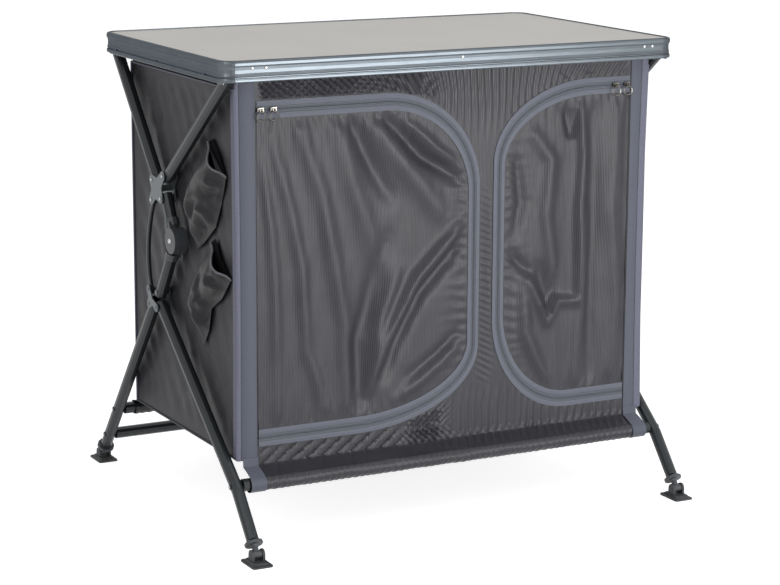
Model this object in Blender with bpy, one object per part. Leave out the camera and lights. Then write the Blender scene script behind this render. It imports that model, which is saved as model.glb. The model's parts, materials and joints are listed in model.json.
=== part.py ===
"""Camping cupboard: a laminate worktop on folding tube side frames, with a zipped fabric cupboard under it.

Metres, +Z up, the front faces -Y, and the origin is on the floor midway between the feet. The sizes below
are drawn with the worktop's middle at y = 0, and the finished pieces then move together onto the origin.
"""

import math

import bmesh
import bpy
from mathutils import Matrix, Vector
from mathutils.geometry import delaunay_2d_cdt

# Worktop
TOP_WIDTH = 0.900
TOP_DEPTH = 0.550
TOP_HEIGHT = 0.847
RIM_HEIGHT = 0.037
RIM_WALL = 0.0050
RIM_CORNER = 0.028
RIM_CORNER_STEPS = 9
LEDGE_REACH = 0.020
LEDGE_THICKNESS = 0.0025
PANEL_THICKNESS = 0.012
PANEL_DROP = 0.0018
FRONT_RIVET_DROP = 0.0135
SIDE_RIVET_DROP = 0.0290
FRONT_RIVETS = (
    -TOP_WIDTH / 2 + 0.055, -TOP_WIDTH / 2 + 0.080, 0.006,
    TOP_WIDTH / 2 - 0.067, TOP_WIDTH / 2 - 0.050,
)
SIDE_RIVETS = (-TOP_DEPTH / 2 + 0.079, 0.0175, TOP_DEPTH / 2 - 0.068)
FRONT_RIVET_RADIUS = 0.0028
SIDE_RIVET_RADIUS = 0.0020
FRONT_RIVET_RISE = 0.0013
SIDE_RIVET_RISE = 0.0023
RIVET_EDGE = 0.0006

# Clearances
GAP = 0.0003
PIN_GAP = 0.0004

# Tubes, plates and pins of the side frames
FRAME_INSET = 0.0214
FRAME_X = TOP_WIDTH / 2 - FRAME_INSET
TUBE_RADIUS = 0.011
TUBE_WALL = 0.0012
PLATE = 0.002
PIN_RADIUS = 0.0025
PIN_HEAD_RADIUS = 0.0052
PIN_HEAD_HEIGHT = 0.0016
TUBE_SIDES = 12
PIN_SIDES = 8
PLUG_SIDES = 8
FOOT_SIDES = 12
END_PAST_PIN = 0.008

# Joint centres of a side frame, as (y, z)
RAIL_PIN_DROP = 0.0365
REAR_RAIL_PIN = (TOP_DEPTH / 2 - 0.0240, TOP_HEIGHT - RAIL_PIN_DROP)
FRONT_RAIL_PIN = (-TOP_DEPTH / 2 + 0.0342, TOP_HEIGHT - RAIL_PIN_DROP)
HUB_REAR_TOP = (0.064, 0.600)
HUB_FRONT_TOP = (0.014, 0.613)
HUB_REAR_LOW = (0.067, 0.563)
HUB_FRONT_LOW = (0.024, 0.571)
ELBOW = (-0.015, 0.501)
LOW_HUB_STRUT = (0.055, 0.395)
LOW_HUB_FRONT_LEG = (0.053, 0.367)
LOW_HUB_REAR_LEG = (0.086, 0.368)
LOW_HUB_ROD = (0.088, 0.394)
REAR_LEG_END = (0.3515, 0.0355)
FRONT_LEG_KNEE = (-0.2750, 0.1075)
FRONT_LEG_END = (-0.3336, 0.0375)
KNEE_RADIUS = 0.060
HUB_LOBE = 0.0095
LOW_HUB_LOBE = 0.0085

# Rails under the rim
RAIL_LENGTH = TOP_DEPTH - 0.034
RAIL_DROP = 0.0236
RAIL_SLACK = 0.0006
RAIL_WALL = 0.0015

# Elbow joint
ELBOW_RADIUS = 0.0235
ELBOW_HALF = 0.012
ELBOW_SPLIT = 0.0002
ELBOW_SOCKET_RADIUS = 0.0132
ELBOW_SOCKET_START = 0.0265
ELBOW_SOCKET_END = 0.041
ELBOW_TUBE_START = 0.0305

# Thin rod
ROD_RADIUS = 0.0042
ROD_SHIFT = 0.0067
ROD_EYE_RADIUS = 0.0080
ROD_LOW_PLAY = 0.0026
ROD_BOW = 0.021

# Cross tubes
FRONT_TUBE = (-0.2660, 0.1145)
REAR_TUBE = (0.2820, 0.1218)
REAR_STRETCHER = (0.3320, 0.0600)
PLUG_LENGTH = 0.014

# Feet
FOOT_STEM_RADIUS = 0.004
FOOT_STEM_INSIDE = 0.022
FOOT_PLUG_LENGTH = 0.016
FOOT_DROP = 0.0262
WHEEL_RADIUS = 0.0165
WHEEL_THICKNESS = 0.006
WHEEL_BELOW_TUBE = 0.0035
FOOT_NECK_RADIUS = 0.0055
FOOT_EYE_RADIUS = 0.0068
FOOT_EYE_WIDTH = 0.015
PAD_LENGTH = 0.056
PAD_WIDTH = 0.038
PAD_LIP = 0.003
PAD_BASE = 0.0072
PAD_WAIST = 0.70
CHEEK_THICKNESS = 0.004
CHEEK_RADIUS = 0.0088
FOOT_PIN_RADIUS = 0.0028

# Fabric cupboard
WALL_TO_TUBE = 0.0041
BOX_HALF_WIDTH = FRAME_X - TUBE_RADIUS - WALL_TO_TUBE
BOX_FRONT = -0.240
BOX_REAR = 0.220
BOX_TOP = TOP_HEIGHT - 0.044
BOX_BOTTOM = 0.151
CLOTH = 0.0016
CLOTH_STEP = 0.032
BINDING_WIDTH = 0.039
HINGE_X = BOX_HALF_WIDTH - BINDING_WIDTH
TAPE_HALF = 0.0012

# Door outlines: zip centre line, as x of the free edge, z of top and bottom, and corner reaches in x and z
LEFT_DOOR = {
    "free": 0.0500, "top": BOX_TOP - 0.0445, "bottom": BOX_BOTTOM + 0.0355,
    "top_reach": (0.176, 0.166), "low_reach": (0.236, 0.126),
}
RIGHT_DOOR = {
    "free": 0.1010, "top": BOX_TOP - 0.0400, "bottom": BOX_BOTTOM + 0.0350,
    "top_reach": (0.193, 0.131), "low_reach": (0.150, 0.171),
}
CORNER_STEPS = 9
FOLD_DEPTH = 0.0045
LEFT_FOLD_DROP = 0.303
RIGHT_FOLD_RISE = 0.179
RIGHT_BAND_RISE = 0.209

# Sleeves round the cross tubes
SLEEVE_HALF_LENGTH = FRAME_X - 0.0306
SLEEVE_CLEARANCE = 0.0012
SLEEVE_WALL = 0.0016

# Boards
BOARD_THICKNESS = 0.005
BOARD_EDGE_GAP = 0.006
FLOOR_GAP = 0.002
SHELF_HEIGHT = 0.470

# Side pockets as (y, z): the mouth's front and rear ends, the rear side, the tip and the front side
UPPER_POCKET = [
    (-0.206, 0.641), (-0.129, 0.693), (-0.056, 0.612), (-0.036, 0.576),
    (-0.076, 0.494), (-0.112, 0.514), (-0.160, 0.548), (-0.186, 0.592),
]
LOWER_POCKET = [
    (-0.222, 0.466), (-0.137, 0.517), (-0.086, 0.458), (-0.046, 0.398), (-0.062, 0.358),
    (-0.102, 0.326), (-0.126, 0.358), (-0.138, 0.400), (-0.184, 0.427),
]
POCKET_REACH = 0.022
POCKET_SOFT = 0.045
POCKET_BACK_GAP = 0.0012
POCKET_MOUTH_SHARE = 0.7
POCKET_SAG = 0.009
POCKET_SAG_REACH = 0.050

# Zip sliders and ring pulls
SLIDER_LENGTH = 0.0115
SLIDER_HEIGHT = 0.0080
SLIDER_BODY = 0.0042
SLIDER_STANDOFF = 0.0014
SLIDER_BAR_RADIUS = 0.0008
SLIDER_BAR_REACH = 0.0039
LINK_RADIUS = 0.0020
LINK_WIRE = 0.00055
RING_RADIUS = 0.0084
RING_WIRE = 0.0011
LEFT_SLIDERS = (-HINGE_X + 0.0065, -HINGE_X + 0.0305)
RIGHT_SLIDERS = (HINGE_X - 0.0334, HINGE_X - 0.0090)


def linear(value):
    value /= 255
    return value / 12.92 if value <= 0.04045 else ((value + 0.055) / 1.055) ** 2.4


def material(name, colour, roughness, metallic):
    made = bpy.data.materials.new(name)
    made.use_nodes = True
    shader = made.node_tree.nodes["Principled BSDF"]
    rgb = [linear(int(colour[i:i + 2], 16)) for i in (0, 2, 4)]
    shader.inputs["Base Color"].default_value = (*rgb, 1)
    shader.inputs["Roughness"].default_value = roughness
    shader.inputs["Metallic"].default_value = metallic
    made.diffuse_color = (*rgb, 1)
    return made


def new_object(name, shape, skin=None, smooth=False):
    """An object from a bmesh, which is freed."""
    bmesh.ops.recalc_face_normals(shape, faces=shape.faces)
    data = bpy.data.meshes.new(name)
    shape.to_mesh(data)
    shape.free()
    obj = bpy.data.objects.new(name, data)
    bpy.context.scene.collection.objects.link(obj)
    if skin:
        data.materials.append(skin)
    if smooth:
        data.shade_smooth()
        data.set_sharp_from_angle(angle=math.radians(40))
    return obj


def hide(obj):
    obj.hide_render = True
    obj.display_type = "WIRE"


def combine(obj, operation, tools):
    for tool in tools:
        step = obj.modifiers.new(operation.title(), "BOOLEAN")
        step.operation = operation
        step.solver = "EXACT"
        step.object = tool
        hide(tool)
    return obj


def fuse(obj, *tools):
    return combine(obj, "UNION", tools)


def cut(obj, *tools):
    return combine(obj, "DIFFERENCE", tools)


def put_origin(obj, point):
    """Moves the object's origin to its joint axis and leaves the shape where it is."""
    obj.data.transform(Matrix.Translation(-Vector(point)))
    obj.location = point
    return obj


def frame_along(direction):
    """Two unit vectors square to a direction, the same pair for the same direction."""
    direction = Vector(direction).normalized()
    side = Vector((1, 0, 0)) if abs(direction.x) < 0.9 else Vector((0, 1, 0))
    first = (side - direction * side.dot(direction)).normalized()
    return first, direction.cross(first)


def circle(centre, direction, radius, sides):
    first, second = frame_along(direction)
    return [
        Vector(centre)
        + radius * (math.cos(a) * first + math.sin(a) * second)
        for a in (2 * math.pi * (i + 0.5) / sides for i in range(sides))
    ]


def loft(shape, loops, closed=False):
    """Joins loops of equal length with quads; caps the ends unless the loops close on themselves."""
    made = [[shape.verts.new(p) for p in loop] for loop in loops]
    count = len(made[0])
    pairs = list(zip(made, made[1:]))
    if closed:
        pairs.append((made[-1], made[0]))
    for low, high in pairs:
        for i in range(count):
            j = (i + 1) % count
            shape.faces.new((low[i], low[j], high[j], high[i]))
    if not closed:
        shape.faces.new(made[0][::-1])
        shape.faces.new(made[-1])
    return shape


def rod(name, start, end, radius, skin=None, sides=PIN_SIDES):
    start, end = Vector(start), Vector(end)
    way = end - start
    loops = [circle(p, way, radius, sides) for p in (start, end)]
    return new_object(name, loft(bmesh.new(), loops), skin, True)


def turned(name, start, direction, profile, skin=None, sides=TUBE_SIDES):
    """A solid of revolution from (distance along the axis, radius) pairs."""
    direction = Vector(direction).normalized()
    loops = [circle(Vector(start) + direction * s, direction, r, sides) for s, r in profile]
    return new_object(name, loft(bmesh.new(), loops), skin, True)


def tube(name, points, skin, radius=TUBE_RADIUS, wall=TUBE_WALL, end_bore=None, end_length=0.0):
    """A hollow tube along points, open at both ends; end_bore narrows the bore over its last end_length."""
    points = [Vector(p) for p in points]
    ways = []
    for i, point in enumerate(points):
        before = (point - points[i - 1]).normalized() if i else None
        after = (points[i + 1] - point).normalized() if i + 1 < len(points) else None
        if before is None:
            ways.append(after)
        elif after is None:
            ways.append(before)
        else:
            ways.append((before + after).normalized())
    outer = [circle(p, w, radius, TUBE_SIDES) for p, w in zip(points, ways)]
    bore = [circle(p, w, radius - wall, TUBE_SIDES) for p, w in zip(points, ways)]
    if end_bore:
        way = ways[-1]
        step = points[-1] - way * end_length
        bore[-1:] = [
            circle(step, way, radius - wall, TUBE_SIDES),
            circle(step, way, end_bore, TUBE_SIDES),
            circle(points[-1], way, end_bore, TUBE_SIDES),
        ]
    return new_object(name, loft(bmesh.new(), outer + bore[::-1], closed=True), skin, True)


def prism(name, outline, low, high, to_world, skin=None, smooth=False):
    """An outline of (u, v) pairs stretched from low to high, placed by to_world(u, v, w)."""
    loops = [[Vector(to_world(u, v, w)) for u, v in outline] for w in (low, high)]
    return new_object(name, loft(bmesh.new(), loops), skin, smooth)


def across(u, v, w):
    """Outlines drawn in the side view, as (y, z), with x as the thickness."""
    return (w, u, v)


def frontal(u, v, w):
    return (u, w, v)


def level(u, v, w):
    return (u, v, w)


def box(name, low, high, skin=None):
    outline = [(low[0], low[1]), (high[0], low[1]), (high[0], high[1]), (low[0], high[1])]
    return prism(name, outline, low[2], high[2], level, skin)


def rounded_rectangle(half_u, half_v, radius, steps=5):
    points = []
    for su, sv, start in ((1, 1, 0), (-1, 1, 90), (-1, -1, 180), (1, -1, 270)):
        for i in range(steps + 1):
            angle = math.radians(start + 90 * i / steps)
            points.append((
                su * (half_u - radius) + radius * math.cos(angle),
                sv * (half_v - radius) + radius * math.sin(angle),
            ))
    return points


def lobed(pins, lobe, waist):
    """A plate outline with a round lobe at each pin and a drawn-in waist between neighbours."""
    middle = sum((Vector(p) for p in pins), Vector((0, 0))) / len(pins)
    pins = sorted((Vector(p) for p in pins), key=lambda p: math.atan2(*(p - middle).yx))
    outline = []
    for i, pin in enumerate(pins):
        after = pins[(i + 1) % len(pins)]
        out = pin - middle
        facing = math.atan2(out.y, out.x)
        for k in range(-2, 3):
            a = facing + math.radians(34 * k)
            outline.append(pin + lobe * Vector((math.cos(a), math.sin(a))))
        half_way = (pin + after) / 2
        outline.append(half_way + (half_way - middle).normalized() * waist)
    return [tuple(p) for p in outline]


def at(side, x, point):
    return Vector((side * x, point[0], point[1]))


def towards(start, end):
    return (Vector(end) - Vector(start)).normalized()


def pin_across(name, side, inner, outer, point, radius=PIN_RADIUS):
    return rod(name, at(side, inner, point), at(side, outer, point), radius)


def headed_pin(name, side, inner, outer, point, head_in=True, head_out=True):
    """A rivet along X: its shank from inner to outer, with a domed head on each chosen end."""
    profile = []
    if head_in:
        profile += [(0, PIN_HEAD_RADIUS * 0.55), (PIN_HEAD_HEIGHT, PIN_HEAD_RADIUS)]
        profile += [(PIN_HEAD_HEIGHT + 0.0004, PIN_HEAD_RADIUS), (PIN_HEAD_HEIGHT + 0.0004, PIN_RADIUS)]
        inner -= PIN_HEAD_HEIGHT
    else:
        profile += [(0, PIN_RADIUS)]
    length = outer - inner
    if head_out:
        profile += [(length - 0.0004, PIN_RADIUS), (length - 0.0004, PIN_HEAD_RADIUS)]
        profile += [(length, PIN_HEAD_RADIUS), (length + PIN_HEAD_HEIGHT, PIN_HEAD_RADIUS * 0.55)]
    else:
        profile += [(length, PIN_RADIUS)]
    return turned(name, at(side, inner, point), (side, 0, 0), profile, sides=PIN_SIDES)


def hole(name, side, point, reach=0.030, radius=PIN_RADIUS + PIN_GAP):
    return pin_across(name, side, FRAME_X - reach, FRAME_X + reach, point, radius)


def make_materials():
    return {
        "laminate": material("laminate", "bab8b4", 0.45, 0),
        "rim": material("rim_aluminium", "6a7075", 0.33, 0.9),
        "tube": material("tube_paint", "4f5457", 0.38, 0.4),
        "plate": material("plate_paint", "5d6265", 0.40, 0.4),
        "plastic": material("black_plastic", "3a3d3f", 0.5, 0),
        "rubber": material("pad_rubber", "2c2d2f", 0.7, 0),
        "nickel": material("nickel", "a8a8a6", 0.22, 1),
        "cloth": material("ribbed_cloth", "4a494e", 0.8, 0),
        "side_cloth": material("side_mesh", "3b3b40", 0.85, 0),
        "board": material("board_cover", "45454a", 0.8, 0),
    }


def make_worktop(skins):
    top = TOP_HEIGHT
    ledge_top = -PANEL_DROP - PANEL_THICKNESS - GAP
    section = [
        (0.0042, 0.0), (0.0012, -0.0012), (0.0, -0.0042), (0.0, -0.0085), (0.0018, -0.0112),
        (0.0025, -0.0160), (0.0023, -0.0215), (0.0013, -0.0262), (0.0007, -0.0272),
        (0.0021, -0.0280), (0.0021, -0.0292), (0.0004, -0.0300), (0.0, -0.0325),
        (0.0, -RIM_HEIGHT + 0.0018), (0.0015, -RIM_HEIGHT), (RIM_WALL, -RIM_HEIGHT),
        (RIM_WALL, ledge_top - LEDGE_THICKNESS), (LEDGE_REACH, ledge_top - LEDGE_THICKNESS),
        (LEDGE_REACH, ledge_top), (RIM_WALL + 0.0020, ledge_top), (RIM_WALL + 0.0020, -0.0012),
        (RIM_WALL + 0.0008, 0.0),
    ]
    half_w, half_d = TOP_WIDTH / 2, TOP_DEPTH / 2
    loops = []
    for inset, drop in section:
        outline = rounded_rectangle(half_w - inset, half_d - inset, RIM_CORNER - inset, RIM_CORNER_STEPS)
        loops.append([Vector((u, v, top + drop)) for u, v in outline])
    rim = new_object("top_rim", loft(bmesh.new(), loops, closed=True), skins["rim"], True)
    rivets = []
    for x in FRONT_RIVETS:
        start = (x, -half_d + RIM_WALL * 0.6, top - FRONT_RIVET_DROP)
        rivets.append((start, (0, -1, 0), FRONT_RIVET_RADIUS, FRONT_RIVET_RISE))
    for y in SIDE_RIVETS:
        for side in (-1, 1):
            start = (side * (half_w - RIM_WALL * 0.6), y, top - SIDE_RIVET_DROP)
            rivets.append((start, (side, 0, 0), SIDE_RIVET_RADIUS, SIDE_RIVET_RISE))
    tools = []
    head = RIM_WALL * 0.6 - 0.0024
    for i, (start, way, radius, rise) in enumerate(rivets):
        profile = [
            (0, radius * 0.8), (head, radius * 0.8), (head, radius),
            (head + rise - RIVET_EDGE, radius), (head + rise, radius * 0.6),
        ]
        tools.append(turned(f"rim_rivet_tool_{i}", start, way, profile, sides=PIN_SIDES))
    fuse(rim, *tools)

    inset = RIM_WALL + 0.0020 + GAP
    outline = rounded_rectangle(half_w - inset, half_d - inset, RIM_CORNER - inset, RIM_CORNER_STEPS)
    under = top - PANEL_DROP - PANEL_THICKNESS
    prism("top_panel", outline, under, under + PANEL_THICKNESS, level, skins["laminate"])


def make_rail(name, side, skins):
    """A channel behind the rim that the upper legs hang in, with its two cross pins."""
    outer = FRAME_X + TUBE_RADIUS + RAIL_SLACK + RAIL_WALL
    inner = FRAME_X - TUBE_RADIUS - RAIL_SLACK - RAIL_WALL
    ceiling = TOP_HEIGHT - PANEL_DROP - PANEL_THICKNESS - GAP - LEDGE_THICKNESS - GAP
    floor = ceiling - RAIL_DROP
    section = [
        (inner, floor), (inner + RAIL_WALL, floor), (inner + RAIL_WALL, ceiling - RAIL_WALL),
        (outer - RAIL_WALL, ceiling - RAIL_WALL), (outer - RAIL_WALL, floor), (outer, floor),
        (outer, ceiling), (inner, ceiling),
    ]
    half = RAIL_LENGTH / 2

    def place(u, v, w):
        return (side * u, w, v)

    rail = prism(name, section, -half, half, place, skins["plate"])
    pins = [
        pin_across(f"{name}_pin_{i}", side, inner + RAIL_WALL / 2, outer - RAIL_WALL / 2, point)
        for i, point in enumerate((FRONT_RAIL_PIN, REAR_RAIL_PIN))
    ]
    return fuse(rail, *pins)


def pinned_tube(name, side, start, end, skins, past_start=END_PAST_PIN, past_end=END_PAST_PIN, **bore):
    """A straight tube between two joint centres, drilled at each, that runs a little past them."""
    a, b = at(side, FRAME_X, start), at(side, FRAME_X, end)
    way = towards(a, b)
    return tube(name, [a - way * past_start, b + way * past_end], skins["tube"], **bore)


def make_upper_frame(tag, side, skins):
    for place, rail_pin, hub_pin in (
        ("rear", REAR_RAIL_PIN, HUB_REAR_TOP),
        ("front", FRONT_RAIL_PIN, HUB_FRONT_TOP),
    ):
        name = f"{tag}_{place}_upper_leg"
        leg = pinned_tube(name, side, rail_pin, hub_pin, skins, past_start=0.007)
        cut(leg, hole(f"{name}_hole_0", side, rail_pin), hole(f"{name}_hole_1", side, hub_pin))

    pins = (HUB_REAR_TOP, HUB_FRONT_TOP, HUB_REAR_LOW, HUB_FRONT_LOW)
    make_hub(f"{tag}_upper_hub", side, pins, pins, HUB_LOBE, 0.006, skins)


def make_hub(name, side, pins, outer_pins, lobe, core, skins):
    """Two lobed plates on the tubes' two sides, held together by their rivets and a core."""
    near = FRAME_X - TUBE_RADIUS - GAP
    far = FRAME_X + TUBE_RADIUS + GAP

    def place(u, v, w):
        return (side * w, u, v)

    inner_plate = prism(name, lobed(pins, lobe, 0.0), near - PLATE, near, place, skins["plate"])
    outer_plate = prism(f"{name}_outer", lobed(outer_pins, lobe, 0.0), far, far + PLATE, place)
    middle = sum((Vector(p) for p in outer_pins), Vector((0, 0))) / len(outer_pins)
    tools = [outer_plate]
    for i, point in enumerate(pins):
        has_plate = point in outer_pins
        reach = far + PLATE - 0.0002 if has_plate else far - 0.0001
        tools.append(headed_pin(f"{name}_rivet_{i}", side, near - PLATE + 0.0002, reach, point))
    if core:
        tools.append(pin_across(f"{name}_core", side, near - PLATE / 2, far + PLATE / 2, middle, core))
    return fuse(inner_plate, *tools)


def make_elbow_half(name, side, inner, outer, end, skins):
    """One disc of the elbow, with the socket that takes its strut."""
    disc = rod(name, at(side, inner, ELBOW), at(side, outer, ELBOW), ELBOW_RADIUS, skins["plastic"], 24)
    way2 = (Vector(end) - Vector(ELBOW)).normalized()
    square = Vector((-way2.y, way2.x))
    a = Vector(ELBOW) + way2 * 0.010
    b = Vector(ELBOW) + way2 * (ELBOW_SOCKET_START + 0.006)
    wide = square * (ELBOW_SOCKET_RADIUS - 0.002)
    bridge_outline = [tuple(p) for p in (a - wide, b - wide, b + wide, a + wide)]

    def place(u, v, w):
        return (side * w, u, v)

    lowest, highest = sorted((inner, outer))
    bridge = prism(f"{name}_bridge", bridge_outline, lowest + 0.0002, highest - 0.0004, place)
    centre = at(side, FRAME_X, ELBOW)
    way = Vector((0, way2.x, way2.y))
    socket = rod(
        f"{name}_socket", centre + way * ELBOW_SOCKET_START, centre + way * ELBOW_SOCKET_END,
        ELBOW_SOCKET_RADIUS, sides=TUBE_SIDES,
    )
    bore = rod(
        f"{name}_bore", centre + way * (ELBOW_TUBE_START - GAP), centre + way * (ELBOW_SOCKET_END + 0.01),
        TUBE_RADIUS + GAP, sides=TUBE_SIDES,
    )
    fuse(disc, bridge, socket)
    cut(disc, bore)
    return disc


def make_lower_frame(tag, side, skins):
    centre = at(side, FRAME_X, ELBOW)
    outer_half = make_elbow_half(
        f"{tag}_elbow_outer", side, FRAME_X + ELBOW_SPLIT, FRAME_X + ELBOW_HALF, HUB_FRONT_LOW, skins,
    )
    fuse(outer_half, headed_pin(
        f"{tag}_elbow_pin", side, FRAME_X - ELBOW_HALF - GAP, FRAME_X + ELBOW_HALF - 0.0003, ELBOW,
        head_in=False,
    ))
    inner_half = make_elbow_half(
        f"{tag}_elbow_inner", side, FRAME_X - ELBOW_SPLIT, FRAME_X - ELBOW_HALF, LOW_HUB_STRUT, skins,
    )
    cut(inner_half, hole(f"{tag}_elbow_hole", side, ELBOW))

    for name, pin_point in ((f"{tag}_upper_strut", HUB_FRONT_LOW), (f"{tag}_lower_strut", LOW_HUB_STRUT)):
        end = at(side, FRAME_X, pin_point)
        way = towards(centre, end)
        strut = tube(name, [centre + way * ELBOW_TUBE_START, end + way * END_PAST_PIN], skins["tube"])
        cut(strut, hole(f"{name}_hole", side, pin_point))
        put_origin(strut, end if "upper" in name else centre)
    put_origin(outer_half, at(side, FRAME_X, HUB_FRONT_LOW))
    put_origin(inner_half, centre)

    pins = (LOW_HUB_STRUT, LOW_HUB_FRONT_LEG, LOW_HUB_REAR_LEG, LOW_HUB_ROD)
    hub = make_hub(f"{tag}_lower_hub", side, pins, pins[1:], LOW_HUB_LOBE, 0.0, skins)
    put_origin(hub, at(side, FRAME_X, LOW_HUB_STRUT))


def make_rod(tag, side, skins):
    """The thin rod, bowed a little to the rear, with a flat eye at each end."""
    x = FRAME_X + ROD_SHIFT
    top, low = at(side, x, HUB_REAR_LOW), at(side, x, LOW_HUB_ROD)
    steps = 7
    spline_points = []
    for i in range(steps + 1):
        t = i / steps
        bow = ROD_BOW * math.sin(math.pi * t) ** 0.8
        spline_points.append(top.lerp(low, t) + Vector((0, bow, 0)))
    name = f"{tag}_rod"
    loops = []
    for i, point in enumerate(spline_points):
        before = spline_points[max(i - 1, 0)]
        after = spline_points[min(i + 1, steps)]
        loops.append(circle(point, after - before, ROD_RADIUS, PIN_SIDES))
    bar = new_object(name, loft(bmesh.new(), loops), skins["tube"], True)
    eyes = []
    holes = []
    for i, point in enumerate((HUB_REAR_LOW, LOW_HUB_ROD)):
        eyes.append(pin_across(
            f"{name}_eye_{i}", side, x - ROD_RADIUS * 0.8, x + ROD_RADIUS * 0.8, point, ROD_EYE_RADIUS,
        ))
        slack = PIN_RADIUS + PIN_GAP + (ROD_LOW_PLAY if i else 0)
        holes.append(hole(f"{name}_hole_{i}", side, point, radius=slack))
    fuse(bar, *eyes)
    cut(bar, *holes)
    return put_origin(bar, at(side, FRAME_X, HUB_REAR_LOW))


def knee_path():
    """The front leg's centre line, straight, then round the knee to its steeper end."""
    start, knee, end = Vector(LOW_HUB_FRONT_LEG), Vector(FRONT_LEG_KNEE), Vector(FRONT_LEG_END)
    into, out = (knee - start).normalized(), (end - knee).normalized()
    turn = into.angle(out)
    reach = KNEE_RADIUS * math.tan(turn / 2)
    a, b = knee - into * reach, knee + out * reach
    points = []
    for i in range(6):
        t = i / 5
        points.append((a.lerp(knee, t)).lerp(knee.lerp(b, t), t))
    return [start] + points + [end]


def cross_plugs(name, side, points):
    """A rivet through the leg at each cross tube, with the plug that fills the tube's end."""
    tools = []
    plug_radius = TUBE_RADIUS - TUBE_WALL - GAP
    face = FRAME_X - TUBE_RADIUS
    for i, point in enumerate(points):
        outer = FRAME_X + TUBE_RADIUS - 0.0003
        shank = outer - (face - PLUG_LENGTH)
        profile = [
            (0, plug_radius * 0.9), (0.001, plug_radius), (PLUG_LENGTH - 0.0005, plug_radius),
            (PLUG_LENGTH - 0.0005, PIN_RADIUS), (shank, PIN_RADIUS), (shank, PIN_HEAD_RADIUS),
            (shank + 0.0008, PIN_HEAD_RADIUS), (shank + 0.0008 + PIN_HEAD_HEIGHT, PIN_HEAD_RADIUS * 0.55),
        ]
        start = at(side, face - PLUG_LENGTH, point)
        tools.append(turned(f"{name}_plug_{i}", start, (side, 0, 0), profile, sides=PLUG_SIDES))
    return tools


def leg_ways():
    """The directions in which the front and rear legs' lower ends run down, as (y, z)."""
    front = (Vector(FRONT_LEG_END) - Vector(FRONT_LEG_KNEE)).normalized()
    rear = (Vector(REAR_LEG_END) - Vector(LOW_HUB_REAR_LEG)).normalized()
    return front, rear


def foot_pivots():
    front, rear = leg_ways()
    return Vector(FRONT_LEG_END) + front * FOOT_DROP, Vector(REAR_LEG_END) + rear * FOOT_DROP


def make_legs(tag, side, skins):
    bottom = {"end_bore": FOOT_STEM_RADIUS + GAP, "end_length": FOOT_PLUG_LENGTH}
    name = f"{tag}_rear_leg"
    rear = pinned_tube(name, side, LOW_HUB_REAR_LEG, REAR_LEG_END, skins, past_end=0, **bottom)
    cut(rear, hole(f"{name}_hole", side, LOW_HUB_REAR_LEG))
    fuse(rear, *cross_plugs(name, side, (REAR_TUBE, REAR_STRETCHER)))
    put_origin(rear, at(side, FRAME_X, LOW_HUB_REAR_LEG))

    name = f"{tag}_front_leg"
    path = knee_path()
    path[0] = path[0] - (path[1] - path[0]).normalized() * END_PAST_PIN
    front = tube(name, [at(side, FRAME_X, p) for p in path], skins["tube"], **bottom)
    cut(front, hole(f"{name}_hole", side, LOW_HUB_FRONT_LEG))
    fuse(front, *cross_plugs(name, side, (FRONT_TUBE,)))
    put_origin(front, at(side, FRAME_X, LOW_HUB_FRONT_LEG))

    front_way, rear_way = leg_ways()
    for place, end, way in (("rear", REAR_LEG_END, rear_way), ("front", FRONT_LEG_END, front_way)):
        make_foot(f"{tag}_{place}", at(side, FRAME_X, end), Vector((0, way.x, way.y)), skins)


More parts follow.
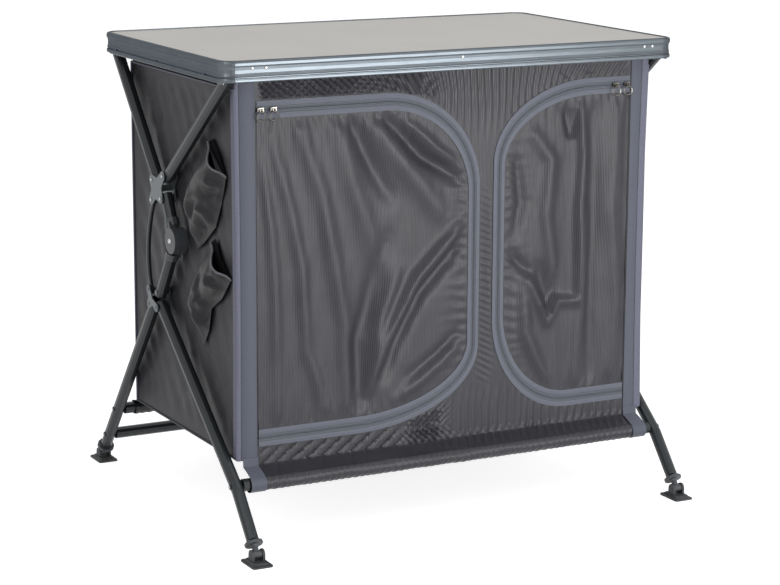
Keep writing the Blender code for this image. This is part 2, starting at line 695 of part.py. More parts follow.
def make_foot(tag, tube_end, way, skins):
    """A screw with a thumb wheel in the tube's end, and the pad that tilts on its eye."""
    top = tube_end - way * FOOT_STEM_INSIDE
    wheel = FOOT_STEM_INSIDE + WHEEL_BELOW_TUBE
    end = FOOT_STEM_INSIDE + FOOT_DROP
    profile = [
        (0, FOOT_STEM_RADIUS * 0.8), (0.001, FOOT_STEM_RADIUS), (wheel, FOOT_STEM_RADIUS),
        (wheel, WHEEL_RADIUS - 0.001), (wheel + 0.001, WHEEL_RADIUS),
        (wheel + WHEEL_THICKNESS - 0.001, WHEEL_RADIUS), (wheel + WHEEL_THICKNESS, WHEEL_RADIUS - 0.001),
        (wheel + WHEEL_THICKNESS, FOOT_NECK_RADIUS + 0.002),
        (wheel + WHEEL_THICKNESS + 0.003, FOOT_NECK_RADIUS), (end - 0.003, FOOT_NECK_RADIUS),
    ]
    name = f"{tag}_foot_screw"
    screw = turned(name, top, way, profile, skins["plastic"], FOOT_SIDES)
    pivot = tube_end + way * FOOT_DROP
    half = Vector((FOOT_EYE_WIDTH / 2, 0, 0))
    eye = rod(f"{name}_eye", pivot - half, pivot + half, FOOT_EYE_RADIUS, sides=FOOT_SIDES)
    fuse(screw, eye)
    reach = Vector((0.02, 0, 0))
    cut(screw, rod(f"{name}_hole", pivot - reach, pivot + reach, FOOT_PIN_RADIUS + GAP, sides=PIN_SIDES))
    put_origin(screw, tube_end)

    name = f"{tag}_foot_pad"
    loops = []
    for z, scale in ((0, 1), (PAD_LIP, 1), (PAD_LIP + 0.0012, PAD_WAIST + 0.12), (PAD_BASE, PAD_WAIST)):
        outline = rounded_rectangle(PAD_WIDTH / 2 * scale, PAD_LENGTH / 2 * scale, 0.005, steps=3)
        loops.append([Vector((pivot.x + u, pivot.y + v, z)) for u, v in outline])
    pad = new_object(name, loft(bmesh.new(), loops), skins["rubber"])
    tools = []
    for i, sign in enumerate((-1, 1)):
        inner = FOOT_EYE_WIDTH / 2 + GAP
        low_x, high_x = sorted((sign * inner, sign * (inner + CHEEK_THICKNESS)))
        outline = [(pivot.y - CHEEK_RADIUS, PAD_BASE - 0.002), (pivot.y + CHEEK_RADIUS, PAD_BASE - 0.002)]
        for k in range(9):
            a = math.pi * k / 8
            outline.append((
                pivot.y + CHEEK_RADIUS * math.cos(a), pivot.z + CHEEK_RADIUS * math.sin(a),
            ))
        tools.append(prism(f"{name}_cheek_{i}", outline, pivot.x + low_x, pivot.x + high_x, across))
    half = Vector((FOOT_EYE_WIDTH / 2 + CHEEK_THICKNESS * 0.7, 0, 0))
    tools.append(rod(f"{name}_pin", pivot - half, pivot + half, FOOT_PIN_RADIUS))
    fuse(pad, *tools)
    put_origin(pad, pivot)


def make_cross_tubes(skins):
    reach = FRAME_X - TUBE_RADIUS - GAP
    tubes = {"front_bottom_tube": FRONT_TUBE, "rear_bottom_tube": REAR_TUBE, "rear_stretcher": REAR_STRETCHER}
    for name, point in tubes.items():
        ends = [Vector((x, point[0], point[1])) for x in (-reach, reach)]
        tube(name, ends, skins["tube"])


def smooth_step(value):
    value = min(max(value, 0.0), 1.0)
    return value * value * (3 - 2 * value)


def inside(point, outline):
    odd = False
    for a, b in zip(outline, outline[1:] + outline[:1]):
        if (a[1] > point[1]) != (b[1] > point[1]):
            if point[0] < (b[0] - a[0]) * (point[1] - a[1]) / (b[1] - a[1]) + a[0]:
                odd = not odd
    return odd


def line_distance(point, line):
    best = 1e9
    p = Vector(point)
    for a, b in zip(line, line[1:]):
        a, b = Vector(a), Vector(b)
        along = b - a
        t = min(max((p - a).dot(along) / along.length_squared, 0), 1)
        best = min(best, (p - a - along * t).length)
    return best


def edge_distance(point, outline):
    return line_distance(point, outline + outline[:1])


def divided(outline, step):
    points = []
    for a, b in zip(outline, outline[1:] + outline[:1]):
        a, b = Vector(a), Vector(b)
        count = max(1, round((b - a).length / step))
        points += [tuple(a.lerp(b, i / count)) for i in range(count)]
    return points


def cloth(name, outline, relief, to_world, skin, step=CLOTH_STEP, thickness=CLOTH):
    """A sheet of cloth inside an outline, with its folds as relief(u, v, distance to the edge)."""
    rim = divided(outline, step)
    points = [Vector(p) for p in rim]
    low = [min(p[k] for p in rim) for k in (0, 1)]
    high = [max(p[k] for p in rim) for k in (0, 1)]
    rows = int((high[1] - low[1]) / (step * 0.866)) + 1
    columns = int((high[0] - low[0]) / step) + 2
    for r in range(rows + 1):
        for c in range(columns + 1):
            p = (low[0] + (c + 0.5 * (r % 2)) * step, low[1] + r * step * 0.866)
            if inside(p, rim) and edge_distance(p, rim) > step * 0.45:
                points.append(Vector(p))
    found = delaunay_2d_cdt(points, [], [list(range(len(rim)))], 1, 1e-6)
    flat, faces = found[0], found[2]
    shape = bmesh.new()
    layers = []
    for sign in (1, -1):
        layer = []
        for p in flat:
            lift = relief(p.x, p.y, edge_distance(p, rim)) + sign * thickness / 2
            layer.append(shape.verts.new(to_world(p.x, p.y, lift)))
        layers.append(layer)
    front, back = layers
    used = {}
    for face in faces:
        shape.faces.new([front[i] for i in face])
        shape.faces.new([back[i] for i in reversed(face)])
        for i, j in zip(face, face[1:] + face[:1]):
            used[(i, j)] = True
    for i, j in used:
        if (j, i) not in used:
            shape.faces.new((front[j], front[i], back[i], back[j]))
    loose = [v for v in shape.verts if not v.link_faces]
    bmesh.ops.delete(shape, geom=loose, context="VERTS")
    return new_object(name, shape, skin, True)


def door_edge(door, hinge, sign, offset):
    """The zip line of a door from its top hinge end round to its bottom one, moved by offset.

    sign is +1 where the free edge lies at larger x than the hinge. A positive offset grows the door.
    """
    free = door["free"] + sign * offset
    top, bottom = door["top"] + offset, door["bottom"] - offset
    points = [(hinge, top)]
    reach_x, reach_z = (r + offset for r in door["top_reach"])
    for i in range(CORNER_STEPS + 1):
        a = math.pi / 2 * (1 - i / CORNER_STEPS)
        points.append((
            free - sign * reach_x * (1 - math.cos(a)), top - reach_z * (1 - math.sin(a)),
        ))
    reach_x, reach_z = (r + offset for r in door["low_reach"])
    for i in range(CORNER_STEPS + 1):
        a = math.pi / 2 * i / CORNER_STEPS
        points.append((
            free - sign * reach_x * (1 - math.cos(a)), bottom + reach_z * (1 - math.sin(a)),
        ))
    points.append((hinge, bottom))
    return points


def fan(u, v, focus, count, phase):
    """Folds that fan out from a point."""
    angle = math.atan2(v - focus[1], u - focus[0]) % (2 * math.pi)
    return math.sin(angle * count + phase)


def left_door_relief(u, v, edge):
    hold = smooth_step(edge / 0.050)
    focus = (LEFT_DOOR["free"] + 0.02, BOX_TOP - LEFT_FOLD_DROP)
    pull = 0.6 * fan(u, v, focus, 15, 0.8)
    drop = 0.5 * math.sin((u + 0.10 * (v - BOX_BOTTOM)) * 92 + 1.0)
    blend = smooth_step((u + BOX_HALF_WIDTH) / 0.30)
    return FOLD_DEPTH * hold * (drop * (1 - 0.7 * blend) + pull * blend)


def right_door_relief(u, v, edge):
    hold = smooth_step(edge / 0.045)
    drop = 0.6 * math.sin((u - 0.06 * (v - BOX_BOTTOM)) * 98 + 0.4)
    focus = (RIGHT_DOOR["free"] + 0.19, BOX_BOTTOM + RIGHT_FOLD_RISE)
    pull = 0.5 * fan(u, v, focus, 6, 0.0)
    return FOLD_DEPTH * hold * (drop + pull * smooth_step(1 - abs(v - BOX_BOTTOM - RIGHT_BAND_RISE) / 0.20))


def side_relief(u, v, edge):
    hold = smooth_step(edge / 0.070)
    return -FOLD_DEPTH * 0.6 * hold * (0.6 + 0.4 * math.sin(v * 21 + u * 9))


def still(u, v, edge):
    return 0.0


def make_cupboard(skins):
    half = BOX_HALF_WIDTH - CLOTH / 2 - GAP * 3

    def front(u, v, w):
        return (u, BOX_FRONT - w, v)

    left = door_edge(LEFT_DOOR, -HINGE_X, 1, TAPE_HALF)
    right = door_edge(RIGHT_DOOR, HINGE_X, -1, TAPE_HALF)
    outline = [(-half, BOX_BOTTOM), (half, BOX_BOTTOM), (half, BOX_TOP), (-half, BOX_TOP)]
    panel = cloth("front_panel", outline, still, front, skins["cloth"], step=0.09)
    cutters = []
    for tag, edge in (("left", left), ("right", right)):
        cutters.append(prism(f"{tag}_door_cut", edge, BOX_FRONT - 0.02, BOX_FRONT + 0.02, frontal))
    cut(panel, *cutters)

    for tag, door, sign, relief in (
        ("left", LEFT_DOOR, 1, left_door_relief), ("right", RIGHT_DOOR, -1, right_door_relief),
    ):
        edge = door_edge(door, -sign * (HINGE_X - GAP * 2), sign, -TAPE_HALF)
        leaf = cloth(f"{tag}_door", edge, relief, front, skins["cloth"])
        put_origin(leaf, (-sign * HINGE_X, BOX_FRONT, 0))

    def back(u, v, w):
        return (u, BOX_REAR + w, v)

    cloth("back_panel", outline, still, back, skins["side_cloth"], step=0.12)
    inner_front, inner_rear = BOX_FRONT - CLOTH / 2, BOX_REAR + CLOTH / 2
    side_outline = [
        (inner_front, BOX_BOTTOM), (inner_rear, BOX_BOTTOM), (inner_rear, BOX_TOP), (inner_front, BOX_TOP),
    ]
    for tag, side in (("left", -1), ("right", 1)):

        def wall(u, v, w, side=side):
            return (side * (BOX_HALF_WIDTH + w), u, v)

        cloth(f"{tag}_side_panel", side_outline, side_relief, wall, skins["side_cloth"], step=0.062)

    for name, pocket in (("upper_side_pocket", UPPER_POCKET), ("lower_side_pocket", LOWER_POCKET)):
        make_pocket(name, pocket, skins)

    board = BOX_HALF_WIDTH - BOARD_EDGE_GAP - FOLD_DEPTH
    for name, z in (("floor_board", BOX_BOTTOM + FLOOR_GAP), ("shelf_board", SHELF_HEIGHT)):
        low = (-board, BOX_FRONT + BOARD_EDGE_GAP + FOLD_DEPTH, z)
        high = (board, BOX_REAR - BOARD_EDGE_GAP, z + BOARD_THICKNESS)
        box(name, low, high, skins["board"])


def make_pocket(name, outline, skins):
    """A pouch on the left side, sewn to the wall at its sides and tip, with a slack mouth on the slant."""
    wall = BOX_HALF_WIDTH + CLOTH + POCKET_BACK_GAP
    mouth, seam = outline[:2], outline[1:] + outline[:1]

    def place(u, v, w):
        belly = smooth_step(line_distance((u, v), seam) / POCKET_SOFT)
        slack = smooth_step(1 - line_distance((u, v), mouth) / POCKET_SAG_REACH)
        reach = POCKET_REACH * belly * (1 - (1 - POCKET_MOUTH_SHARE) * slack)
        return (-(wall + reach + w), u, v - POCKET_SAG * belly * slack)

    cloth(name, outline, still, place, skins["side_cloth"], step=0.020)


def make_sleeve(name, centre, panel_edge, skins):
    """A fabric sleeve round a cross tube, with the strip that joins it to the cupboard's bottom edge."""
    inner = TUBE_RADIUS + SLEEVE_CLEARANCE
    outer = inner + SLEEVE_WALL
    c = Vector(centre)
    edge = Vector(panel_edge)
    reach = SLEEVE_HALF_LENGTH
    body = rod(name, Vector((-reach, c.x, c.y)), Vector((reach, c.x, c.y)), outer, skins["cloth"], 16)
    way = (edge - c).normalized()
    square = Vector((-way.y, way.x)) * SLEEVE_WALL / 2
    start = c + way * (inner + SLEEVE_WALL / 2)
    outline = [tuple(p) for p in (start - square, edge - square, edge + square, start + square)]
    strip = prism(f"{name}_strip", outline, -reach, reach, across)
    bore = rod(
        f"{name}_bore", Vector((-reach - 0.01, c.x, c.y)), Vector((reach + 0.01, c.x, c.y)), inner, sides=16,
    )
    fuse(body, strip)
    cut(body, bore)


def ring(name, centre, axis, radius, wire, steps, sides, skin=None):
    axis = Vector(axis).normalized()
    first, second = frame_along(axis)
    loops = []
    for i in range(steps):
        a = 2 * math.pi * i / steps
        out = math.cos(a) * first + math.sin(a) * second
        loops.append([
            Vector(centre) + out * (radius + wire * math.cos(b)) + axis * wire * math.sin(b)
            for b in (2 * math.pi * k / sides for k in range(sides))
        ])
    return new_object(name, loft(bmesh.new(), loops, closed=True), skin, True)


def make_slider(tag, x, z, skins):
    face = BOX_FRONT - CLOTH / 2 - SLIDER_STANDOFF
    half_l, half_h = SLIDER_LENGTH / 2, SLIDER_HEIGHT / 2
    outline = [
        (x - half_l, z - half_h * 0.7), (x - half_l * 0.2, z - half_h), (x + half_l, z - half_h),
        (x + half_l, z + half_h), (x - half_l * 0.2, z + half_h), (x - half_l, z + half_h * 0.7),
    ]
    front = face - SLIDER_BODY
    body = prism(f"{tag}_slider", outline, front, face, frontal, skins["nickel"])
    bar_y = front - SLIDER_BAR_REACH + SLIDER_BAR_RADIUS
    bar_half = 0.0034
    tools = []
    for i, sign in enumerate((-1, 1)):
        ear_x = sorted((x + sign * 0.0022, x + sign * bar_half))
        tools.append(box(
            f"{tag}_ear_{i}", (ear_x[0], bar_y - SLIDER_BAR_RADIUS, z - 0.0014),
            (ear_x[1], front + 0.0006, z + 0.0014),
        ))
    tools.append(rod(
        f"{tag}_bar", (x - bar_half + 0.0002, bar_y, z), (x + bar_half - 0.0002, bar_y, z),
        SLIDER_BAR_RADIUS, sides=8,
    ))
    fuse(body, *tools)
    put_origin(body, (x, face, z))

    link_centre = Vector((x, bar_y, z - LINK_RADIUS + LINK_WIRE + SLIDER_BAR_RADIUS + GAP))
    link = ring(f"{tag}_pull", link_centre, (1, 0, 0), LINK_RADIUS, LINK_WIRE, 10, 5, skins["nickel"])
    hang = Vector((0, 0, -(LINK_RADIUS + RING_RADIUS)))
    fuse(link, ring(f"{tag}_pull_ring", link_centre + hang, (0, 1, 0), RING_RADIUS, RING_WIRE, 14, 5))
    put_origin(link, (x, bar_y, z))


def make_sliders(skins):
    for tag, places, door in (("left", LEFT_SLIDERS, LEFT_DOOR), ("right", RIGHT_SLIDERS, RIGHT_DOOR)):
        for kind, x in zip(("outer", "inner") if tag == "left" else ("inner", "outer"), places):
            make_slider(f"{tag}_door_{kind}", x, door["top"], skins)


def main():
    for obj in list(bpy.data.objects):
        bpy.data.objects.remove(obj, do_unlink=True)
    skins = make_materials()
    make_worktop(skins)
    for tag, side in (("left", -1), ("right", 1)):
        make_rail(f"{tag}_leg_rail", side, skins)
        make_upper_frame(tag, side, skins)
        make_lower_frame(tag, side, skins)
        make_rod(tag, side, skins)
        make_legs(tag, side, skins)
    make_cross_tubes(skins)
    make_cupboard(skins)
    make_sleeve("front_sleeve", FRONT_TUBE, (BOX_FRONT, BOX_BOTTOM - CLOTH), skins)
    make_sleeve("rear_sleeve", REAR_TUBE, (BOX_REAR, BOX_BOTTOM - CLOTH), skins)
    make_sliders(skins)
    front, rear = foot_pivots()
    for obj in bpy.context.scene.objects:
        obj.location.y -= (front.x + rear.x) / 2


main()
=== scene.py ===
"""Camping cupboard, dressed: laminate worktop, folding tube frame, zipped cloth cupboard."""

import json
import math

import bmesh
import bpy
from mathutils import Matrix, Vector, noise
from mathutils.geometry import delaunay_2d_cdt


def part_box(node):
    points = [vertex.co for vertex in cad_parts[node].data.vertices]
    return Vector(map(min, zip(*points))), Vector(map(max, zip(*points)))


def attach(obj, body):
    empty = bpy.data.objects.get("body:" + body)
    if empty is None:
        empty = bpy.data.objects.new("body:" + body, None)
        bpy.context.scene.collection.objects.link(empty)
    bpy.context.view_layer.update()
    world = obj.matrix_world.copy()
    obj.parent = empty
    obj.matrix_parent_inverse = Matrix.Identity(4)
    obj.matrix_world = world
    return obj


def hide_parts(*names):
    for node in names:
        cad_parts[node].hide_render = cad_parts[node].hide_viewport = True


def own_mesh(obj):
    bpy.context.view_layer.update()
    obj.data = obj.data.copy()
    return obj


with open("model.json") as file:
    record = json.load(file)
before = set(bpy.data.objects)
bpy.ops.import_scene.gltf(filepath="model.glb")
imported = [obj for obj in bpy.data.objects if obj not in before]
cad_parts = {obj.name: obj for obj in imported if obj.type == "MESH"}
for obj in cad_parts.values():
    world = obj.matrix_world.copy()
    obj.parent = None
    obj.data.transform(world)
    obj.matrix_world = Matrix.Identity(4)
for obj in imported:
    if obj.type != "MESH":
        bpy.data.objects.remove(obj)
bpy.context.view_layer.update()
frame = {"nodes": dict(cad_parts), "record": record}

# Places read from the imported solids, in metres
CLOTH_HALF = 0.0008
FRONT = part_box("front_panel")[0][1] + CLOTH_HALF
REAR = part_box("back_panel")[1][1] - CLOTH_HALF
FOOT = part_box("front_panel")[0][2]
HEM_LEVEL = FOOT + 0.0015
FRONT_TUBE = [sum(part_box("front_bottom_tube")[k][i] for k in (0, 1)) / 2 for i in (1, 2)]
REAR_TUBE = [sum(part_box("rear_bottom_tube")[k][i] for k in (0, 1)) / 2 for i in (1, 2)]
TUBE_RADIUS = 0.011

# The cloth box
HALF_WIDTH = 0.4135
PANEL_HALF = HALF_WIDTH - 0.0010
CLOTH_TOP = 0.829
UNDER_RIM = 0.815
SIDE_TOP = 0.7945
HEADER = 0.7670
HINGE_X = 0.3745
# The zips' width on upright runs, as a share of that on level ones
ZIP_UPRIGHT = 0.74
DOOR_GAP = 0.0012
LEFT_DOOR = {
    "free": 0.0500, "top": 0.7585, "bottom": 0.1865, "top_reach": (0.176, 0.166), "low_reach": (0.236, 0.126),
}
RIGHT_DOOR = {
    "free": 0.1010, "top": 0.7630, "bottom": 0.1860, "top_reach": (0.193, 0.131), "low_reach": (0.150, 0.171),
}

BETWEEN_DOORS = (LEFT_DOOR["free"] + RIGHT_DOOR["free"]) / 2
CHEVRON_LEVEL = 0.166

# The side frames' middle plane, and how far the places given from the cloth box's middle are moved along y
FRAME_X = 0.4286
SHIFT = FRONT + 0.240

# Side pockets as (y, z) on the wall: the mouth's front and rear ends, the rear side, the tip and the front side
POUCH_REACH = 0.022
POUCH_SOFT = 0.045
POUCH_SAG = 0.009
MOUTH_SOFT = 0.050
UPPER_POUCH = [
    (-0.206, 0.641), (-0.129, 0.693), (-0.056, 0.612), (-0.036, 0.576),
    (-0.076, 0.494), (-0.112, 0.514), (-0.160, 0.548), (-0.186, 0.592),
]
LOWER_POUCH = [
    (-0.222, 0.466), (-0.137, 0.517), (-0.086, 0.458), (-0.046, 0.398), (-0.062, 0.358),
    (-0.102, 0.326), (-0.126, 0.358), (-0.138, 0.400), (-0.184, 0.427),
]


# Materials

# A wave texture's scale is this over the pitch of its bands in metres
WAVE = math.pi / 10


def linear(hex_colour):
    """An sRGB hex value as linear red, green, blue and alpha."""
    parts = [int(hex_colour[i:i + 2], 16) / 255 for i in (0, 2, 4)]
    return [c / 12.92 if c <= 0.04045 else ((c + 0.055) / 1.055) ** 2.4 for c in parts] + [1]


def add(tree, kind, values=None, links=None, **settings):
    """Adds a node with its settings, its unlinked values and the sockets that feed it."""
    made = tree.nodes.new("ShaderNode" + kind)
    for name, value in settings.items():
        setattr(made, name, value)
    for name, value in (values or {}).items():
        made.inputs[name].default_value = value
    for name, source in (links or {}).items():
        tree.links.new(source, made.inputs[name])
    return made


def surface(name, colour, roughness, metallic=0.0, **sockets):
    """A Principled material with plain values, its tree and its shader node."""
    made = bpy.data.materials.new(name)
    made.use_nodes = True
    shader = made.node_tree.nodes["Principled BSDF"]
    shader.inputs["Base Color"].default_value = linear(colour)
    shader.inputs["Roughness"].default_value = roughness
    shader.inputs["Metallic"].default_value = metallic
    for socket, value in sockets.items():
        shader.inputs[socket.replace("_", " ")].default_value = value
    made.diffuse_color = linear(colour)
    return made, made.node_tree, shader


def speckle(tree, size, stretch=(1, 1, 1), detail=3.0):
    """A pattern of grains about size metres across, longer where stretch is small."""
    place = add(tree, "TexCoord")
    moved = add(tree, "Mapping", links={"Vector": place.outputs["Object"]})
    moved.inputs["Scale"].default_value = [s / size for s in stretch]
    noises = add(tree, "TexNoise", {"Scale": 1.0, "Detail": detail}, {"Vector": moved.outputs["Vector"]})
    return noises.outputs["Fac"]


def patterned(tree, shader, pattern, dark, light, low=0.35, high=0.65, relief=None, height=None):
    """Colours the shader from dark to light by a pattern. relief is the strength and distance of the bump by
    which the pattern, or another one given as height, stands out."""
    ramp = add(tree, "ValToRGB", links={"Fac": pattern})
    for stop, place, colour in zip(ramp.color_ramp.elements, (low, high), (dark, light)):
        stop.position = place
        stop.color = linear(colour)
    tree.links.new(ramp.outputs["Color"], shader.inputs["Base Color"])
    if relief:
        strength, distance = relief
        raised = pattern if height is None else height
        bump = add(tree, "Bump", {"Strength": strength, "Distance": distance}, {"Height": raised})
        tree.links.new(bump.outputs["Normal"], shader.inputs["Normal"])


def grained(name, colour, roughness, size, dark, light, relief=None, metallic=0.0, detail=3.0, **sockets):
    """A surface with one even grain, about size metres across."""
    made, tree, shader = surface(name, colour, roughness, metallic, **sockets)
    patterned(tree, shader, speckle(tree, size, detail=detail), dark, light, relief=relief)
    return made


def pressed_laminate():
    """High-pressure laminate, pressed on a matt plate: even warm grey, very fine grain, soft sheen."""
    made, tree, shader = surface("pressed_laminate", "b7b4ae", 0.42, IOR=1.5)
    # A grain of 2.2 mm: the plate's own, well under 1 mm, would be finer than a pixel
    grain = speckle(tree, 0.0022)
    clouds = speckle(tree, 0.16, detail=1.0)
    mixed = add(tree, "Mix", {"Factor": 0.35}, {"A": grain, "B": clouds})
    patterned(
        tree, shader, mixed.outputs["Result"], "b2afa9", "bcb9b4", relief=(0.12, 0.0003), height=grain,
    )
    return made


def anodised_aluminium():
    """Extruded aluminium, anodised anthracite: satin, with faint draw lines and long soft highlights."""
    made, tree, shader = surface("anodised_aluminium", "5e6469", 0.30, 1.0)
    # Draw lines every 0.9 mm: the die's own would be finer than a pixel
    lines = speckle(tree, 0.0009, (0.02, 0.02, 1.0), 2.0)
    patterned(tree, shader, lines, "585e63", "646a6f", relief=(0.10, 0.0002))
    # The dye layer swallows light that grazes it
    shader.inputs["Specular Tint"].default_value = linear("b8babc")
    return made


def powder_coated_tube():
    """Steel tube, powder coated anthracite: satin, with the slight ripple that the baked powder leaves."""
    return grained(
        "powder_coated_tube", "2a2e30", 0.30, 0.0016, "262a2c", "2e3235", (0.16, 0.0003), 0.35, 2.0, IOR=1.5,
    )


def coated_plate():
    """Pressed steel plate, coated a shade paler than the tubes: satin, with the ripple of the baked powder."""
    return grained(
        "coated_plate", "5c6265", 0.36, 0.0020, "585e61", "62686b", (0.12, 0.0003), 0.45, 2.0, IOR=1.5,
    )


def moulded_nylon():
    """Glass-filled nylon, injection moulded: dark grey, half matt, with a fine spark-eroded grain."""
    # A grain of 0.7 mm, several times coarser than an eroded mould's
    return grained("moulded_nylon", "3d4144", 0.46, 0.0007, "393d40", "42464a", (0.25, 0.0002), IOR=1.53)


def moulded_rubber():
    """Moulded rubber: near black and dull, with a bloom of paler dust."""
    return grained("moulded_rubber", "2b2c2e", 0.62, 0.006, "28292b", "37383a", (0.15, 0.0003), IOR=1.52)


def nickel_plated_zinc():
    """Die-cast zinc under bright nickel: a mirror softened by small handling scratches."""
    made, tree, shader = surface("nickel_plated_zinc", "6f6c67", 0.18, 1.0)
    # Scratches 1 mm wide: real ones, hair thin, wouldn't show
    marks = speckle(tree, 0.0010, (1, 1, 0.3))
    patterned(tree, shader, marks, "5f5c57", "807d78", relief=(0.10, 0.0002))
    return made


def zinc_plated_steel():
    """Zinc-plated rivet steel: pale and bright, slightly blotched."""
    return grained("zinc_plated_steel", "aeb0b3", 0.28, 0.0015, "a1a3a6", "bbbcbe", metallic=1.0)


def ribbed_polyester():
    """Polyester woven with a raised thread: fine upright ribs that catch the light, with slack threads."""
    made, tree, shader = surface(
        "ribbed_polyester", "2c2b30", 0.40, IOR=1.45, Sheen_Weight=0.1, Sheen_Roughness=0.4,
    )
    place = add(tree, "TexCoord")
    waver = speckle(tree, 0.05, detail=2.0)
    # Ribs every 2.8 mm: the real 1.4 mm ones would be finer than a pixel
    rib = add(
        tree, "TexWave", {"Scale": WAVE / 0.0028}, {"Vector": place.outputs["Object"]}, wave_type="BANDS",
        bands_direction="X",
    )
    threads = speckle(tree, 0.0016, (1, 1, 0.05))
    mixed = add(tree, "Mix", {"Factor": 0.5}, {"A": rib.outputs["Fac"], "B": threads})
    uneven = add(tree, "Mix", {"Factor": 0.25}, {"A": mixed.outputs["Result"], "B": waver})
    patterned(tree, shader, uneven.outputs["Result"], "1a191e", "38373f", 0.36, 0.66, (0.75, 0.0006))
    return made


def coated_mesh():
    """Coated polyester mesh: dark, with a fine grid of raised crossings set on the slant."""
    made, tree, shader = surface("coated_mesh", "2a2a2e", 0.50, IOR=1.35)
    place = add(tree, "TexCoord")
    # Crossings every 4.5 mm: the real 1.5 mm ones would be finer than a pixel
    turned = add(tree, "Mapping", links={"Vector": place.outputs["Object"]})
    turned.inputs["Rotation"].default_value = (math.radians(45), 0, 0)
    first, second = (
        add(
            tree, "TexWave", {"Scale": WAVE / 0.0045}, {"Vector": turned.outputs["Vector"]},
            wave_type="BANDS", bands_direction=way,
        ).outputs["Fac"]
        for way in "YZ"
    )
    crossing = add(tree, "Math", links={0: first, 1: second}, operation="MULTIPLY")
    patterned(tree, shader, crossing.outputs["Value"], "18181c", "4a4a50", 0.15, 0.80, (0.5, 0.0006))
    return made


def pocket_cloth():
    """Plain-woven polyester, calendered smooth: darker than the walls, with a silky shine on its bulges."""
    # A weave of 1.6 mm, several times coarser than the real threads
    return grained(
        "pocket_cloth", "18171c", 0.42, 0.0016, "131217", "1c1b20", (0.3, 0.0004), IOR=1.33, Sheen_Weight=0.05,
    )


def pocket_shade_sheet():
    """A near-black, matt sheet laid on the wall behind each pouch: painted shade for the dark inside of the
    slack mouths, so that they read as holes.
    """
    return grained("pocket_shade_sheet", "0b0b0d", 0.9, 0.0016, "08080a", "101013", IOR=1.15)


def woven_webbing(name="woven_webbing", dark="484c58", light="565a67", pitch=0.0022):
    """Polyester webbing, tightly woven: blue-grey, with short weft steps across it and a matt face."""
    made, tree, shader = surface(name, light, 0.62, IOR=1.45, Sheen_Weight=0.2)
    place = add(tree, "TexCoord")
    # The weft steps are drawn about twice as coarse as the real 1 mm ones
    weft = add(
        tree, "TexWave", {"Scale": WAVE / pitch, "Distortion": 0.4, "Detail": 1.0},
        {"Vector": place.outputs["Object"]}, wave_type="BANDS", bands_direction="Z",
    )
    mixed = add(tree, "Mix", {"Factor": 0.5}, {"A": weft.outputs["Fac"], "B": speckle(tree, 0.0012)})
    patterned(tree, shader, mixed.outputs["Result"], dark, light, 0.25, 0.75, (0.35, 0.0005))
    return made


def sewn_thread():
    """Bonded sewing thread and the shadow of its seam: darker than the tape it holds."""
    return grained("sewn_thread", "2c2d33", 0.7, 0.0020, "2b2c31", "45464d")


def nylon_coil():
    """Zip coil of wound nylon: a dark row of small teeth with a dull shine."""
    made, tree, shader = surface("nylon_coil", "43454c", 0.5, IOR=1.53)
    teeth = add(tree, "UVMap")
    # A tooth every 2.4 mm, drawn twice as coarse as the real 1.2 mm ones
    row = add(
        tree, "TexWave", {"Scale": WAVE / 0.0024}, {"Vector": teeth.outputs["UV"]}, wave_type="BANDS",
        bands_direction="X",
    )
    patterned(tree, shader, row.outputs["Fac"], "33353b", "5c5f68", 0.2, 0.8, (0.8, 0.0006))
    return made


def covered_board():
    """Hardboard covered in the cupboard's cloth: flat, dark and matt."""
    # A weave of 2.5 mm, several times coarser than the real threads
    return grained("covered_board", "434348", 0.7, 0.0025, "3e3e43", "4a4a50", (0.3, 0.0004))


LAMINATE = pressed_laminate()
RIM = anodised_aluminium()
TUBE = powder_coated_tube()
PLATE = coated_plate()
NYLON = moulded_nylon()
RUBBER = moulded_rubber()
NICKEL = nickel_plated_zinc()
ZINC = zinc_plated_steel()
RIBBED = ribbed_polyester()
MESH = coated_mesh()
POCKET = pocket_cloth()
POCKET_SHADE = pocket_shade_sheet()
WEBBING = woven_webbing()
TAPE = woven_webbing("zip_tape", "545863", "676b76", 0.0020)
TAPE_BED = woven_webbing("zip_tape_bed", "4d525c", "5d626c", 0.0020)
PIPING = woven_webbing("piping_tape", "595a6b", "6b6c7e", 0.0022)
ELASTIC = woven_webbing("pocket_elastic", "5c5d63", "7a7b81", 0.0030)
THREAD = sewn_thread()
COIL = nylon_coil()
BOARD = covered_board()

FINISHES = {
    "laminate": LAMINATE, "rim_aluminium": RIM, "tube_paint": TUBE, "plate_paint": PLATE,
    "black_plastic": NYLON, "pad_rubber": RUBBER, "nickel": NICKEL, "ribbed_cloth": RIBBED, "side_mesh": MESH,
    "board_cover": BOARD,
}
# The solids keep their meshes and take these finishes
for entry in frame["record"]["subparts"]:
    shown = frame["nodes"][entry["node"]]
    for place in shown.material_slots:
        place.link = "OBJECT"
        place.material = FINISHES[entry["material_slot"]]


# Mesh tools

def piece(name, shape, skins, body, smooth=True):
    """An object from a bmesh, riding on a body, with the given finishes in its slots."""
    data = bpy.data.meshes.new(name)
    shape.to_mesh(data)
    shape.free()
    obj = bpy.data.objects.new(name, data)
    bpy.context.scene.collection.objects.link(obj)
    for skin in skins if isinstance(skins, (list, tuple)) else [skins]:
        data.materials.append(skin)
    if smooth:
        data.shade_smooth()
        data.set_sharp_from_angle(angle=math.radians(50))
    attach(obj, body)
    return obj


def crumples(obj):
    """Gives a piece a mesh of its own."""
    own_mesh(obj)
    return obj


def smooth_step(value):
    """0 below 0, 1 above 1, and a smooth rise in between."""
    value = min(max(value, 0.0), 1.0)
    return value * value * (3 - 2 * value)


